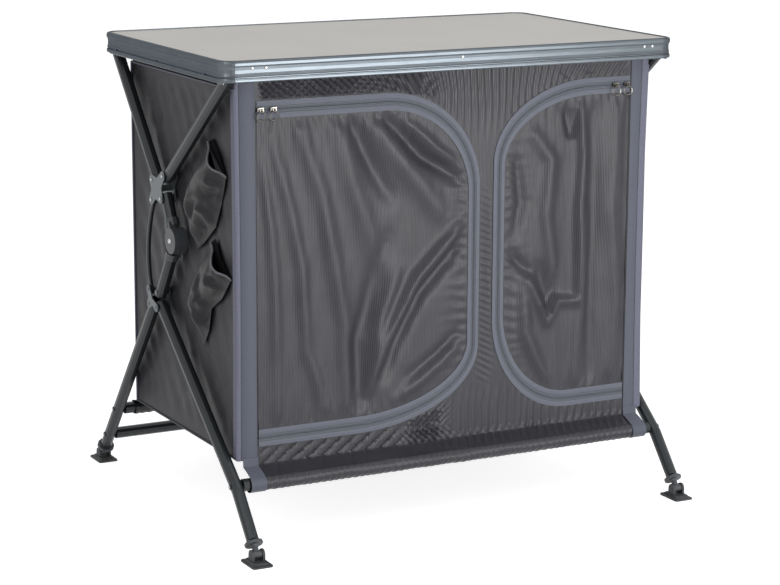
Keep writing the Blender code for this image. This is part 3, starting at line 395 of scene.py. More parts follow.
def to_line(p, line):
    """Distance from p to a polyline, and how far along it the nearest place is, from 0 to 1."""
    best, along, run = 1e9, 0.0, 0.0
    total = sum((b - a).length for a, b in zip(line, line[1:]))
    for a, b in zip(line, line[1:]):
        way = b - a
        t = min(max((p - a).dot(way) / way.length_squared, 0), 1)
        apart = (p - a - way * t).length
        if apart < best:
            best, along = apart, (run + way.length * t) / total
        run += way.length
    return best, along


def folds(lines):
    """A relief made of single folds, each (height, half width, places it runs through)."""
    made = [(h, w, [Vector(p) for p in line]) for h, w, line in lines]

    def relief(x, z):
        p = Vector((x, z))
        total = 0.0
        for height, width, line in made:
            apart, along = to_line(p, line)
            if apart < width * 3:
                ends = 0.35 + 0.65 * math.sin(math.pi * along) ** 0.5
                total += height * math.exp(-(apart / width) ** 2) * ends
        return total

    return relief


def inside(p, outline):
    """Whether p lies inside a closed outline."""
    odd = False
    for a, b in zip(outline, outline[1:] + outline[:1]):
        if (a[1] > p[1]) != (b[1] > p[1]) and p[0] < (b[0] - a[0]) * (p[1] - a[1]) / (b[1] - a[1]) + a[0]:
            odd = not odd
    return odd


def divided(outline, step):
    """A closed outline's points at about equal steps."""
    points = []
    for a, b in zip(outline, outline[1:] + outline[:1]):
        a, b = Vector(a), Vector(b)
        count = max(1, round((b - a).length / step))
        points += [a.lerp(b, i / count) for i in range(count)]
    return points


def cloth(name, outline, place, step, skin, body, holes=()):
    """A sheet of cloth cut to an outline with holes, each point (u, v) put at place(u, v)."""
    rims = [divided(line, step) for line in (outline, *holes)]
    points = [p for rim in rims for p in rim]
    edges, start = [], 0
    for rim in rims:
        edges += [(start + i, start + (i + 1) % len(rim)) for i in range(len(rim))]
        start += len(rim)
    # Inner points on a triangular grid, kept clear of the rims
    near = {}
    for p in points:
        near.setdefault((round(p.x / step), round(p.y / step)), []).append(p)
    low = [min(p[k] for p in rims[0]) for k in (0, 1)]
    high = [max(p[k] for p in rims[0]) for k in (0, 1)]
    for r in range(int((high[1] - low[1]) / (step * 0.866)) + 2):
        for c in range(int((high[0] - low[0]) / step) + 2):
            p = Vector((low[0] + (c + 0.5 * (r % 2)) * step, low[1] + r * step * 0.866))
            cell = (round(p.x / step), round(p.y / step))
            around = [(cell[0] + i, cell[1] + j) for i in (-1, 0, 1) for j in (-1, 0, 1)]
            beside = [q for spot in around for q in near.get(spot, ())]
            if all((p - q).length > step * 0.6 for q in beside):
                if inside(p, outline) and not any(inside(p, hole) for hole in holes):
                    points.append(p)
    found = delaunay_2d_cdt(points, edges, [], 0, 1e-6)
    shape = bmesh.new()
    flat = found[0]
    verts = [shape.verts.new(place(p.x, p.y)) for p in flat]
    for face in found[2]:
        middle = sum((flat[i] for i in face), Vector((0, 0))) / len(face)
        if inside(middle, outline) and not any(inside(middle, hole) for hole in holes):
            shape.faces.new([verts[i] for i in face])
    bmesh.ops.delete(shape, geom=[v for v in shape.verts if not v.link_faces], context="VERTS")
    bmesh.ops.recalc_face_normals(shape, faces=shape.faces)
    return piece(name, shape, skin, body)


def ribbon(name, line, section, place, skins, body, upright=1.0):
    """A band along a line of (u, v) points. section lists (offset, height, skin index) across it, and upright
    is its width on upright runs as a share of that on level ones."""
    line = [Vector(p) for p in line]
    shape = bmesh.new()
    uv = shape.loops.layers.uv.new("run")
    rows, run = [], 0.0
    for i, p in enumerate(line):
        before = line[max(i - 1, 0)]
        after = line[min(i + 1, len(line) - 1)]
        if i:
            run += (p - line[i - 1]).length
        way = (after - before).normalized()
        square = Vector((-way.y, way.x)) * (upright + (1 - upright) * abs(way.x))
        row = []
        for offset, height, _ in section:
            q = p + square * offset
            row.append(shape.verts.new(place(q.x, q.y, height)))
        rows.append((run, row))
    for (run_a, a), (run_b, b) in zip(rows, rows[1:]):
        for k in range(len(section) - 1):
            face = shape.faces.new((a[k], a[k + 1], b[k + 1], b[k]))
            face.material_index = section[k][2]
            for loop, (x, y) in zip(face.loops, ((run_a, k), (run_a, k + 1), (run_b, k + 1), (run_b, k))):
                loop[uv].uv = (x, y * 0.001)
    bmesh.ops.recalc_face_normals(shape, faces=shape.faces)
    return piece(name, shape, skins, body)


def cord_along(points, radius, sides, shape):
    """Adds a round bar along world points to a bmesh."""
    uv = shape.loops.layers.uv.verify()
    points = [Vector(p) for p in points]
    loops, run, runs = [], 0.0, []
    for i, p in enumerate(points):
        before, after = points[max(i - 1, 0)], points[min(i + 1, len(points) - 1)]
        if i:
            run += (p - points[i - 1]).length
        runs.append(run)
        way = (after - before).normalized()
        side = Vector((0, 1, 0)) if abs(way.y) < 0.9 else Vector((1, 0, 0))
        first = (side - way * side.dot(way)).normalized()
        second = way.cross(first)
        loops.append([
            shape.verts.new(p + radius * (math.cos(a) * first + math.sin(a) * second))
            for a in (2 * math.pi * k / sides for k in range(sides))
        ])
    for i in range(len(points) - 1):
        for k in range(sides):
            m = (k + 1) % sides
            face = shape.faces.new((loops[i][k], loops[i][m], loops[i + 1][m], loops[i + 1][k]))
            for loop, x in zip(face.loops, (runs[i], runs[i], runs[i + 1], runs[i + 1])):
                loop[uv].uv = (x, k * 0.001)
    shape.faces.new(loops[0][::-1])
    shape.faces.new(loops[-1])
    return shape


def bar(name, points, radius, sides, skin, body):
    """A round bar along world points, as a piece of its own."""
    shape = cord_along(points, radius, sides, bmesh.new())
    bmesh.ops.recalc_face_normals(shape, faces=shape.faces)
    return piece(name, shape, skin, body)


def dome(shape, centre, way, radius, height, base=0.0, sides=20):
    """Adds a rivet head to a bmesh: a low dome that stands on centre and faces along way."""
    way = Vector(way).normalized()
    side = Vector((0, 0, 1)) if abs(way.z) < 0.9 else Vector((1, 0, 0))
    first = (side - way * side.dot(way)).normalized()
    second = way.cross(first)
    rings = []
    for r, h in ((1, -base), (1, 0.25 * height), (0.86, 0.68 * height), (0.55, 0.93 * height), (0.2, height)):
        middle = Vector(centre) + way * h
        rings.append([
            shape.verts.new(middle + radius * r * (math.cos(a) * first + math.sin(a) * second))
            for a in (2 * math.pi * k / sides for k in range(sides))
        ])
    for low, high in zip(rings, rings[1:]):
        for k in range(sides):
            m = (k + 1) % sides
            shape.faces.new((low[k], low[m], high[m], high[k]))
    shape.faces.new(rings[0][::-1])
    shape.faces.new(rings[-1])


def heads(name, places, body, radius=0.0034, height=0.0021, base=0.002, skin=ZINC):
    """Rivet heads in one piece: places are (centre, direction)."""
    shape = bmesh.new()
    for centre, way in places:
        dome(shape, centre, way, radius, height, base)
    return piece(name, shape, skin, body)


# Front of the cupboard

def front(x, z, lift=0.0):
    """A place on the cupboard's front, lift metres outside it."""
    return (x, FRONT - lift, z)


def door_edge(door, hinge, sign, offset=0.0, steps=22):
    """The zip's centre line, from the hinge at the top round to the hinge at the bottom, grown by offset."""
    free = door["free"] + sign * offset
    top, bottom = door["top"] + offset, door["bottom"] - offset
    points = [(hinge, top)]
    for reach, level, up in ((door["top_reach"], top, -1), (door["low_reach"], bottom, 1)):
        reach_x, reach_z = (r + offset for r in reach)
        for i in range(steps + 1):
            a = math.pi / 2 * (i / steps if up > 0 else 1 - i / steps)
            points.append((free - sign * reach_x * (1 - math.cos(a)), level + up * reach_z * (1 - math.sin(a))))
    points.append((hinge, bottom))
    return points


def spaced(line, step):
    """The line's points at about equal steps."""
    line = [Vector(p) for p in line]
    made = []
    for a, b in zip(line, line[1:]):
        count = max(1, round((b - a).length / step))
        made += [a.lerp(b, i / count) for i in range(count)]
    return made + [line[-1]]


def door_line(door, hinge, sign, offset):
    """The zip's line grown by offset, at even steps."""
    return spaced(door_edge(door, hinge, sign, offset), 0.008)


LEFT_FOLDS = folds([
    (0.00595, 0.011, [(-0.375, 0.70), (-0.347, 0.55), (-0.340, 0.42), (-0.338, 0.21)]),
    (0.0068, 0.012, [(-0.350, 0.72), (-0.315, 0.60), (-0.290, 0.48), (-0.280, 0.33), (-0.240, 0.21)]),
    (0.0085, 0.016, [(-0.297, 0.735), (-0.253, 0.61), (-0.226, 0.476), (-0.206, 0.365), (-0.201, 0.20)]),
    (0.00765, 0.020, [(-0.225, 0.735), (-0.196, 0.627), (-0.135, 0.468)]),
    (-0.00935, 0.015, [(-0.201, 0.742), (-0.162, 0.664), (-0.120, 0.590)]),
    (0.0085, 0.022, [(-0.150, 0.725), (-0.107, 0.665), (-0.010, 0.549)]),
    (-0.01275, 0.013, [(-0.142, 0.745), (-0.056, 0.657), (0.046, 0.598)]),
    (0.00765, 0.010, [(-0.085, 0.722), (-0.026, 0.669), (0.030, 0.635)]),
    (0.01275, 0.012, [(0.040, 0.545), (-0.065, 0.443), (-0.126, 0.334), (-0.161, 0.250)]),
    (-0.01105, 0.013, [(0.035, 0.508), (-0.060, 0.410), (-0.105, 0.330), (-0.130, 0.27)]),
    (-0.0102, 0.018, [(-0.127, 0.517), (-0.181, 0.340), (-0.176, 0.215)]),
    (0.0068, 0.012, [(-0.100, 0.465), (-0.135, 0.376), (-0.160, 0.268)]),
    (0.00595, 0.012, [(0.030, 0.320), (-0.054, 0.256), (-0.105, 0.220)]),
    (-0.00595, 0.010, [(0.045, 0.355), (-0.020, 0.300), (-0.080, 0.262)]),
])
RIGHT_FOLDS = folds([
    (0.01105, 0.010, [(0.268, 0.735), (0.276, 0.636), (0.270, 0.524), (0.273, 0.381)]),
    (-0.00765, 0.014, [(0.300, 0.720), (0.302, 0.560), (0.298, 0.350), (0.300, 0.22)]),
    (0.0085, 0.014, [(0.168, 0.692), (0.210, 0.632), (0.200, 0.534), (0.218, 0.414)]),
    (0.00765, 0.016, [(0.351, 0.730), (0.340, 0.531), (0.356, 0.355), (0.345, 0.198)]),
    (0.0102, 0.009, [(0.161, 0.425), (0.206, 0.335), (0.226, 0.372), (0.275, 0.368)]),
    (-0.0085, 0.012, [(0.188, 0.440), (0.210, 0.372), (0.222, 0.420)]),
    (0.0085, 0.013, [(0.156, 0.420), (0.160, 0.319), (0.208, 0.217)]),
    (0.0068, 0.014, [(0.285, 0.527), (0.279, 0.362), (0.266, 0.205)]),
    (-0.00765, 0.010, [(0.121, 0.473), (0.168, 0.428)]),
    (-0.00765, 0.009, [(0.235, 0.738), (0.252, 0.680), (0.262, 0.725)]),
    (-0.0068, 0.012, [(0.136, 0.640), (0.150, 0.560), (0.130, 0.500)]),
])


def wave(turns):
    """A sine that repeats once a turn."""
    return math.sin(2 * math.pi * turns)


def gathers(x, z, door, sign):
    """Small gathers that run square to the zip and die out in the door."""
    top = math.exp(-(door["top"] - 0.016 - z) / 0.030) if z < door["top"] else 1
    low = math.exp(-(z - door["bottom"] - 0.016) / 0.026)
    free = math.exp(-abs(door["free"] - sign * 0.018 - x) / 0.020)
    wander = noise.noise(Vector((x * 18, z * 18, 2.0)))
    upright = wave(x / 0.019 + 0.7 * wander) * min(top + low, 1.0)
    lying = wave(z / 0.021 + 0.8 * wander) * min(free, 1.0)
    return 0.0018 * (upright + 0.8 * lying)


def make_door(tag, door, sign, relief):
    """A door's cloth with its half of the zip. Returns the panel's half of the zip: its tape and its coil."""
    body = f"{tag}_door"
    hinge = -sign * (HINGE_X - 0.0006)
    outline = door_edge(door, hinge, sign, -DOOR_GAP)
    rim = [Vector(p) for p in outline]

    def place(x, z):
        edge, _ = to_line(Vector((x, z)), rim)
        hold = smooth_step((edge - 0.012) / 0.030) * smooth_step(abs(x - hinge) / 0.020)
        fine = 0.0010 * noise.noise(Vector((x * 60, z * 14, 5.0)))
        puckers = gathers(x, z, door, sign) * smooth_step((edge - 0.013) / 0.004)
        return front(x, z, hold * relief(x, z) + (puckers + fine) * smooth_step(edge / 0.02))

    leaf = cloth(body + "_cloth", outline, place, 0.0056, RIBBED, body)
    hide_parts(body)
    line = spaced(door_edge(door, hinge, sign), 0.006)
    # Bound edge, seam, zip tape and the seam beside the coil, from the door's side to the coil
    turn = -sign
    section = [
        (0.0155, 0.0003, 0), (0.0152, 0.0016, 0), (0.0108, 0.0021, 0), (0.0061, 0.0018, 1), (0.0053, 0.0014, 2),
        (0.0041, 0.0018, 2), (0.0029, 0.0017, 1), (0.0022, 0.0013, 2), (0.0006, 0.0016, 2),
    ]
    tape = ribbon(
        f"{tag}_door_zip_tape", line, [(turn * o, h, s) for o, h, s in section], front,
        [TAPE, THREAD, TAPE_BED], body, upright=ZIP_UPRIGHT,
    )
    coil = bar(
        f"{tag}_door_coil", [front(p.x, p.y, 0.0011) for p in door_line(door, hinge, sign, -0.0007)],
        0.0007, 6, COIL, body,
    )
    outer = ribbon(
        f"{tag}_panel_zip_tape", line, [(-turn * o, h, s) for o, h, s in section], front,
        [TAPE, THREAD, TAPE_BED], "top", upright=ZIP_UPRIGHT,
    )
    outer_coil = bar(
        f"{tag}_panel_coil", [front(p.x, p.y, 0.0011) for p in door_line(door, hinge, sign, 0.0007)],
        0.0007, 6, COIL, "top",
    )
    for obj in (leaf, tape, coil, outer, outer_coil):
        crumples(obj)
    return [outer, outer_coil]


def front_relief(x, z):
    """Puckers of the panel: slanted under the rim, creased at the foot, lying between the doors."""
    wander = noise.noise(Vector((x * 14, z * 9, 8.0)))
    left, right = smooth_step((0.08 - x) / 0.30), smooth_step((x - 0.10) / 0.20)
    upright = wave(x / 0.0165 + 0.8 * wander)
    # Under the rim they lean one way on the left and the other way on the right
    high = smooth_step((z - 0.66) / 0.09) * (0.35 + 0.65 * smooth_step((UNDER_RIM - z) / 0.012))
    slanted = x + (1.25 * left - 0.67 * right) * (max(z, HEADER) - UNDER_RIM)
    lift = high * (0.0015 + 0.0009 * left) * wave(slanted / 0.0152 + 0.35 * wander)
    # At the foot there are single creases, then chevrons, then upright puckers
    low = smooth_step((0.235 - z) / 0.04)
    if low > 0:
        across, middle = smooth_step((x + 0.12) / 0.06), smooth_step((0.03 - x) / 0.06)
        crease = max(0.0, math.cos(2 * math.pi * ((x - 1.33 * z) / 0.029 + 0.25 * wander))) ** 7
        slope = 1.1 if z < CHEVRON_LEVEL else -1.1
        chevron = wave((x + slope * (z - CHEVRON_LEVEL)) / 0.0125 + 0.4 * wander)
        lift += low * (0.0022 * chevron * middle * across - 0.0036 * crease * (1 - across))
        lift += low * 0.0013 * upright * (1 - middle)
    lying = math.exp(-((x - BETWEEN_DOORS) / 0.014) ** 2)
    lying *= smooth_step((0.62 - z) / 0.08) * smooth_step((z - 0.22) / 0.05)
    lift += 0.0015 * lying * wave((z + 0.5 * x) / 0.0125 + 0.6 * wander)
    # Flat under the bindings and beside the doors' hinge lines
    return lift * smooth_step((HINGE_X - abs(x)) / 0.012)


def notch(u_sign, u_edge, radius=0.014):
    """The top corner of a wall below the rim, rounded off: points from its upright edge to the rim."""
    turns = [math.radians(90 * i / 6) for i in range(7)]
    return [
        (u_edge - u_sign * radius * (1 - math.cos(a)), UNDER_RIM - radius * (1 - math.sin(a))) for a in turns
    ] + [(u_edge - u_sign * 0.030, CLOTH_TOP)]


def make_front():
    """The header and the panel, with the doors and the bindings."""
    half = PANEL_HALF
    edges = []
    zips = []
    for door, sign in ((LEFT_DOOR, 1), (RIGHT_DOOR, -1)):
        edges.append(door_edge(door, -sign * (HINGE_X + 0.0002), sign, DOOR_GAP))
        zips.append([Vector(p) for p in door_edge(door, -sign * HINGE_X, sign, steps=9)])

    def place(x, z):
        apart = min(to_line(Vector((x, z)), line)[0] for line in zips)
        return front(x, z, front_relief(x, z) * smooth_step((apart - 0.012) / 0.008))

    # The header starts above both zips, and the panel under it has the doors cut out
    top = HEADER + 0.0012
    lower = cloth(
        "front_panel_cloth", [(-half, FOOT), (half, FOOT), (half, top), (-half, top)],
        place, 0.0040, RIBBED, "top", holes=edges,
    )
    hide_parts("front_panel")
    header = cloth(
        "front_header_cloth", [(-half, top), (half, top)] + notch(1, half) + notch(-1, -half)[::-1],
        place, 0.0036, RIBBED, "top",
    )
    crumples(lower)
    trims = make_door("left", LEFT_DOOR, 1, LEFT_FOLDS) + make_door("right", RIGHT_DOOR, -1, RIGHT_FOLDS)
    trims += make_bindings()
    width = 2 * half
    # The area of the frame of cloth that the doorways leave: the rectangle that it was pieced from, less the
    # doorways
    area = width * (top - FOOT)
    for line in edges:
        area -= abs(sum(a[0] * b[1] - b[0] * a[1] for a, b in zip(line, line[1:] + line[:1]))) / 2


def drawn_in(side, z):
    """How far the upright edge stands inside its straight line: bowed, and rounded under the rim."""
    bow = (0.0052 if side > 0 else 0.0020) * math.sin(math.pi * min(max((z - FOOT) / (UNDER_RIM - FOOT), 0), 1))
    corner = 0.013
    over = min(max(z - (UNDER_RIM - corner), 0), corner)
    return bow + corner - math.sqrt(corner * corner - over * over)


def make_bindings():
    """Webbing down the front's upright edges: a broad strip, a seam and an edge round the corner."""
    made = []
    for tag, side, seam in (("left", -1, 0.0066), ("right", 1, 0.0138)):
        section = [
            (0.0010, -0.0160, 2), (0.0012, -0.0012, 2), (0.0004, 0.0012, 2), (-0.0024, 0.0020, 2),
            (-seam + 0.0010, 0.0017, 1), (-seam, 0.0009, 0), (-seam - 0.0010, 0.0019, 0), (-0.0260, 0.0023, 0),
            (-0.0364, 0.0019, 1), (-0.0370, 0.0015, 1), (-0.0373, -0.0002, 1),
        ]
        for part, low, high in (("upper", HEADER, UNDER_RIM), ("lower", FOOT - 0.001, HEADER)):
            rows = [(side * HALF_WIDTH, z) for z in (low + (high - low) * i / 70 for i in range(71))]

            def place(x, z, height):
                wave_out = 0.0004 * noise.noise(Vector((x * 40, z * 22, 3.0)))
                share = min(max((abs(x) - HINGE_X) / (HALF_WIDTH - HINGE_X), 0), 1)
                return front(x - side * drawn_in(side, z) * share, z, height + wave_out)

            obj = ribbon(
                f"{tag}_binding_{part}", rows, [(-side * o, h, s) for o, h, s in section], place,
                [WEBBING, THREAD, PIPING], "top",
            )
            if part == "lower":
                crumples(obj)
                made.append(obj)
    return made


# Sides and back

def side_relief(y, z):
    """How far a side wall hangs inside its flat plane: slack in the middle, creased, held at its edges."""
    edge = min(y - FRONT, REAR - y, z - FOOT, (SIDE_TOP - z) * 2)
    hold = smooth_step(edge / 0.06)
    slack = 0.5 + 0.5 * noise.noise(Vector((y * 7, z * 7, 1.0)))
    crease = noise.noise(Vector(((y + z) * 26, (y - z) * 9, 4.0)))
    fan = wave((y - 0.55 * z) / 0.052 + 0.9 * noise.noise(Vector((y * 6, z * 4, 12.0))))
    return -hold * (0.0065 * slack + 0.0022 * crease + 0.0013 * fan)


def make_walls():
    """The side walls and the back, with their piping and hems."""
    along = [FRONT + (REAR - FRONT) * i / 60 for i in range(61)]
    steps = [FRONT + (REAR - FRONT) * i / 40 for i in range(41)]
    rise = [FOOT + (SIDE_TOP - FOOT) * i / 60 for i in range(61)]
    for tag, side in (("left", -1), ("right", 1)):
        outline = [(FRONT, FOOT), (REAR, FOOT), (REAR, SIDE_TOP), (FRONT, SIDE_TOP)]

        def place(y, z):
            edge_in = drawn_in(side, z) * smooth_step(1 - (y - FRONT) / 0.08)
            return (side * (HALF_WIDTH - edge_in + side_relief(y, z)), y, z)

        wall = cloth(f"{tag}_side_cloth", outline, place, 0.010, MESH, "top")
        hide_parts(f"{tag}_side_panel")
        # The front edge is drawn in with the binding, the rear one is straight
        lines = {
            "rear_piping": [(side * (HALF_WIDTH + 0.0012), REAR, z) for z in rise],
            "front_piping": [
                (side * (HALF_WIDTH + 0.0012 - drawn_in(side, z)), FRONT + 0.0008, z) for z in rise
            ],
            "hem": [(side * (HALF_WIDTH + 0.0006), y, HEM_LEVEL) for y in steps],
            "top_piping": [Vector(place(y, SIDE_TOP)) + Vector((side * 0.0012, 0, 0)) for y in along],
        }
        pipes = []
        for part, points in lines.items():
            radius, skin = (0.0020, THREAD) if part == "hem" else (0.0019, PIPING)
            pipes.append(bar(f"{tag}_{part}", points, radius, 8, skin, "top"))
        for obj in (wall, *pipes):
            crumples(obj)
    half = PANEL_HALF

    def behind(x, z):
        hold = smooth_step(min(half - abs(x), z - FOOT) / 0.08)
        slack = 0.5 + 0.5 * noise.noise(Vector((x * 5, z * 5, 6.0)))
        return (x, REAR - hold * 0.006 * slack, z)

    wall = cloth(
        "back_cloth", [(-half, FOOT), (half, FOOT), (half, CLOTH_TOP), (-half, CLOTH_TOP)], behind,
        0.012, MESH, "top",
    )
    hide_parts("back_panel")
    hem = bar(
        "back_hem", [(-half + 2 * half * i / 60, REAR, HEM_LEVEL) for i in range(61)], 0.0020, 8,
        THREAD, "top",
    )
    crumples(wall)
    crumples(hem)


UPPER_CRUMPLES = folds([
    (0.0085, 0.010, [(-0.118, 0.643), (-0.080, 0.614), (-0.048, 0.575), (-0.060, 0.548), (-0.084, 0.527)]),
    (0.00765, 0.009, [(-0.133, 0.609), (-0.092, 0.590), (-0.078, 0.568), (-0.080, 0.551)]),
    (0.00765, 0.009, [(-0.158, 0.632), (-0.188, 0.624), (-0.178, 0.600)]),
    (0.00595, 0.008, [(-0.122, 0.580), (-0.146, 0.570), (-0.138, 0.552)]),
    (-0.0102, 0.007, [(-0.128, 0.560), (-0.112, 0.532), (-0.092, 0.505)]),
    (-0.00935, 0.010, [(-0.113, 0.592), (-0.098, 0.571), (-0.092, 0.553)]),
    (-0.0085, 0.008, [(-0.143, 0.602), (-0.172, 0.611), (-0.190, 0.620)]),
])
LOWER_CRUMPLES = folds([
    (0.0085, 0.010, [(-0.133, 0.496), (-0.108, 0.463), (-0.092, 0.430), (-0.066, 0.398), (-0.070, 0.374)]),
    (0.0085, 0.010, [(-0.148, 0.447), (-0.176, 0.447), (-0.161, 0.425)]),
    (0.00765, 0.009, [(-0.080, 0.396), (-0.104, 0.408), (-0.126, 0.405)]),
    (-0.0102, 0.008, [(-0.200, 0.456), (-0.186, 0.436), (-0.130, 0.402), (-0.112, 0.374)]),
    (-0.0085, 0.010, [(-0.120, 0.452), (-0.112, 0.420), (-0.094, 0.395)]),
    (-0.0068, 0.008, [(-0.164, 0.466), (-0.180, 0.454)]),
])


def make_pocket(name, outline, mouth_gap, relief, seed):
    """A slack pouch on the left wall, sewn down at its sides and tip, with an elastic hem and a near-black
    sheet of painted shade on the wall behind it, for the dark inside of its mouth.
    mouth_gap is the wall's side of the open mouth, from its rear end to its front end."""
    wall = HALF_WIDTH + 0.0016
    seam = [Vector(p) for p in outline[1:] + outline[:1]]
    mouth = [Vector(p) for p in outline[:2]]

    def place(y, z):
        p = Vector((y, z))
        apart = to_line(p, seam)[0]
        belly = smooth_step(apart / POUCH_SOFT)
        slack = smooth_step(1 - to_line(p, mouth)[0] / MOUTH_SOFT)
        crease = noise.noise(Vector((y * 34, z * 34, seed))) + 0.5 * noise.noise(Vector((y * 80, z * 70, seed)))
        wrinkles = smooth_step(apart / 0.014) * (relief(y, z) * (1 - slack) + 0.0026 * crease)
        out = POUCH_REACH * belly * (1 - 0.3 * slack) + wrinkles
        return (-(wall + max(out, 0)), y + SHIFT, z - POUCH_SAG * belly * slack)

    pouch = cloth(f"{name}_cloth", outline, place, 0.0042, POCKET, "top")
    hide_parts(name)
    hem = [place(*mouth[0].lerp(mouth[1], i / 40)) for i in range(41)]
    elastic = bar(f"{name}_elastic", hem, 0.0018, 8, ELASTIC, "top")
    # Painted shade: a near-black sheet on the wall under the pouch and its mouth stands for the shadow inside
    # the open mouth
    inner = outline[1:] + outline[:1] + mouth_gap[::-1]
    shade_sheet = cloth(
        f"{name}_lining", inner, lambda y, z: (-(HALF_WIDTH + 0.0008), y + SHIFT, z), 0.012, POCKET_SHADE, "top",
    )
    for obj in (pouch, elastic, shade_sheet):
        crumples(obj)


# Sleeves round the cross tubes

def grid_piece(name, grid, skin, body):
    """A sheet from rows of world points."""
    shape = bmesh.new()
    rows = [[shape.verts.new(p) for p in row] for row in grid]
    for a, b in zip(rows, rows[1:]):
        for k in range(len(a) - 1):
            shape.faces.new((a[k], a[k + 1], b[k + 1], b[k]))
    bmesh.ops.recalc_face_normals(shape, faces=shape.faces)
    return piece(name, shape, skin, body)


def make_sleeve(tag, centre, edge, body):
    """The cloth goes from the wall's foot down to the tube, once round it and back to its own seam."""
    is_front = tag == "front"
    turn = 1 if is_front else -1
    radius = TUBE_RADIUS + 0.0020
    wrap = math.radians(285)
    c, e = Vector(centre), Vector(edge)
    # The cloth hangs flat a little below the wall's foot before it turns out to the tube
    hang = Vector((e.x, e.y - (0.014 if is_front else 0.004)))
    bend = 0.35
    towards = (e - c).normalized()
    square = Vector((-towards.y, towards.x)) * turn
    start = math.atan2(towards.y, towards.x)
    touch = c + square * radius * 0.9 + towards * radius * 0.4
    around = 22
    strip = 12
    reach = 0.398
    columns = 290
    grid = []
    for i in range(columns + 1):
        x = -reach + 2 * reach * i / columns
        pull = noise.noise(Vector((x * 16, 0.0, 7.0)))
        row = []
        for k in range(strip):
            t = k / strip
            p = e.lerp(hang, t / bend) if t < bend else hang.lerp(touch, (t - bend) / (1 - bend))
            pucker, dash = 0.0016 * wave((x + 0.012 * t) / 0.0150 + 0.6 * pull), 0
            if is_front:
                pucker = front_relief(x, p.y)
                dash = max(0.0, math.cos(2 * math.pi * ((x + 0.020 * t) / 0.0165 + 0.3 * pull))) ** 3
                dash *= 0.0030 * math.sin(math.pi * t) * smooth_step((x + 0.10) / 0.15)
            row.append((x, p.x - turn * (pucker * (1 - 0.6 * t) + dash), p.y + 0.5 * dash))
        for k in range(around + 1):
            a = start + turn * (math.radians(60) + wrap * k / around)
            ripple = 0.0006 * wave((x + 0.0014 * k) / 0.0125 + 0.8 * pull)
            ripple += 0.0007 * noise.noise(Vector((x * 30, k * 0.3, 9.0)))
            ripple += 0.0006 * noise.noise(Vector((x * 9, k * 0.2, 2.0)))
            r = radius + 0.0006 + ripple
            row.append((x, c.x + r * math.cos(a), c.y + r * math.sin(a)))
        grid.append(row)
    sleeve = grid_piece(f"{tag}_sleeve_cloth", grid, RIBBED, body)
    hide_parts(f"{tag}_sleeve")


def make_loops():
    """Webbing loops that close the front sleeve's two ends round the tube."""
    c = Vector(FRONT_TUBE)
    first = math.radians(125)
    foot = Vector((FRONT - 0.0030, FOOT + 0.003))
    bend = Vector((FRONT - 0.0044, FOOT - 0.012))
    wrap = c + (TUBE_RADIUS + 0.0044) * Vector((math.cos(first), math.sin(first)))
    outline = [foot, bend, bend.lerp(wrap, 0.4) - Vector((0.0012, 0))]
    for k in range(18):
        a = math.radians(125 + 235 * k / 17)
        outline.append(c + (TUBE_RADIUS + 0.0040) * Vector((math.cos(a), math.sin(a))))
    for tag, side in (("left", -1), ("right", 1)):
        grid = [[(side * (0.3760 + 0.0290 * i / 6), p.x, p.y) for p in outline] for i in range(7)]
        grid_piece(f"{tag}_sleeve_loop", grid, WEBBING, "front_legs")


# Rivet heads over the solids' own

def make_rivets():
    """Rivets of the hubs, elbows and legs on the frames' outer faces, and of the rim."""
    tube_face = FRAME_X + 0.0110
    hub_face = tube_face + 0.0023
    for tag, side in (("left", -1), ("right", 1)):
        def head(points, x=hub_face):
            return [((side * x, y + SHIFT, z), (side, 0, 0)) for y, z in points]

        hub = head([(0.064, 0.600), (0.014, 0.613), (0.067, 0.563), (0.024, 0.571)])
        heads(f"{tag}_hub_rivets", hub, "top")
        low_hub = head([(0.053, 0.367), (0.086, 0.368), (0.088, 0.394)])
        heads(f"{tag}_low_hub_rivets", low_hub, "lower_hubs", height=0.0014, skin=PLATE)
        elbow = head([(-0.015, 0.501)], FRAME_X + 0.0120)
        heads(f"{tag}_elbow_rivet", elbow, "upper_struts", radius=0.0050, height=0.0032)
        heads(f"{tag}_front_leg_rivet", head([(-0.2660, 0.1145)], tube_face), "front_legs", height=0.0030)
        rear_leg = head([(0.2820, 0.1218), (0.3320, 0.0600)], tube_face)
        heads(f"{tag}_rear_leg_rivets", rear_leg, "rear_legs", height=0.0030)
        heads(
            f"{tag}_rim_side_rivets", head([(-0.196, 0.818), (0.0175, 0.818), (0.207, 0.818)], 0.4493), "top",
            radius=0.0022, height=0.0008, skin=THREAD,
        )
    front_face = -0.275 + SHIFT + 0.0022
    places = [((x, front_face, 0.8335), (0, -1, 0)) for x in (-0.395, -0.370, 0.006, 0.383, 0.400)]
    heads("rim_front_rivets", places, "top", radius=0.0031, height=0.0014)


make_front()
make_walls()
make_pocket("upper_side_pocket", UPPER_POUCH, [(-0.152, 0.701), (-0.178, 0.676)], UPPER_CRUMPLES, 11.0)
make_pocket("lower_side_pocket", LOWER_POUCH, [(-0.158, 0.528), (-0.176, 0.500)], LOWER_CRUMPLES, 23.0)
make_sleeve("front", FRONT_TUBE, (FRONT - 0.0004, FOOT + 0.002), "front_legs")
make_sleeve("rear", REAR_TUBE, (REAR + 0.0004, FOOT + 0.002), "rear_legs")
make_loops()
make_rivets()


# Camera, lights and floor

def seen_directly(tree):
    """1 for what the camera, mirrors and glass see, 0 for what lights the object."""
    ray = add(tree, "LightPath").outputs
    seen = add(
        tree, "Math", links={0: ray["Is Camera Ray"], 1: ray["Is Glossy Ray"]}, operation="MAXIMUM",
    )
    return add(
        tree, "Math", links={0: seen.outputs[0], 1: ray["Is Transmission Ray"]}, operation="MAXIMUM",
    ).outputs[0]


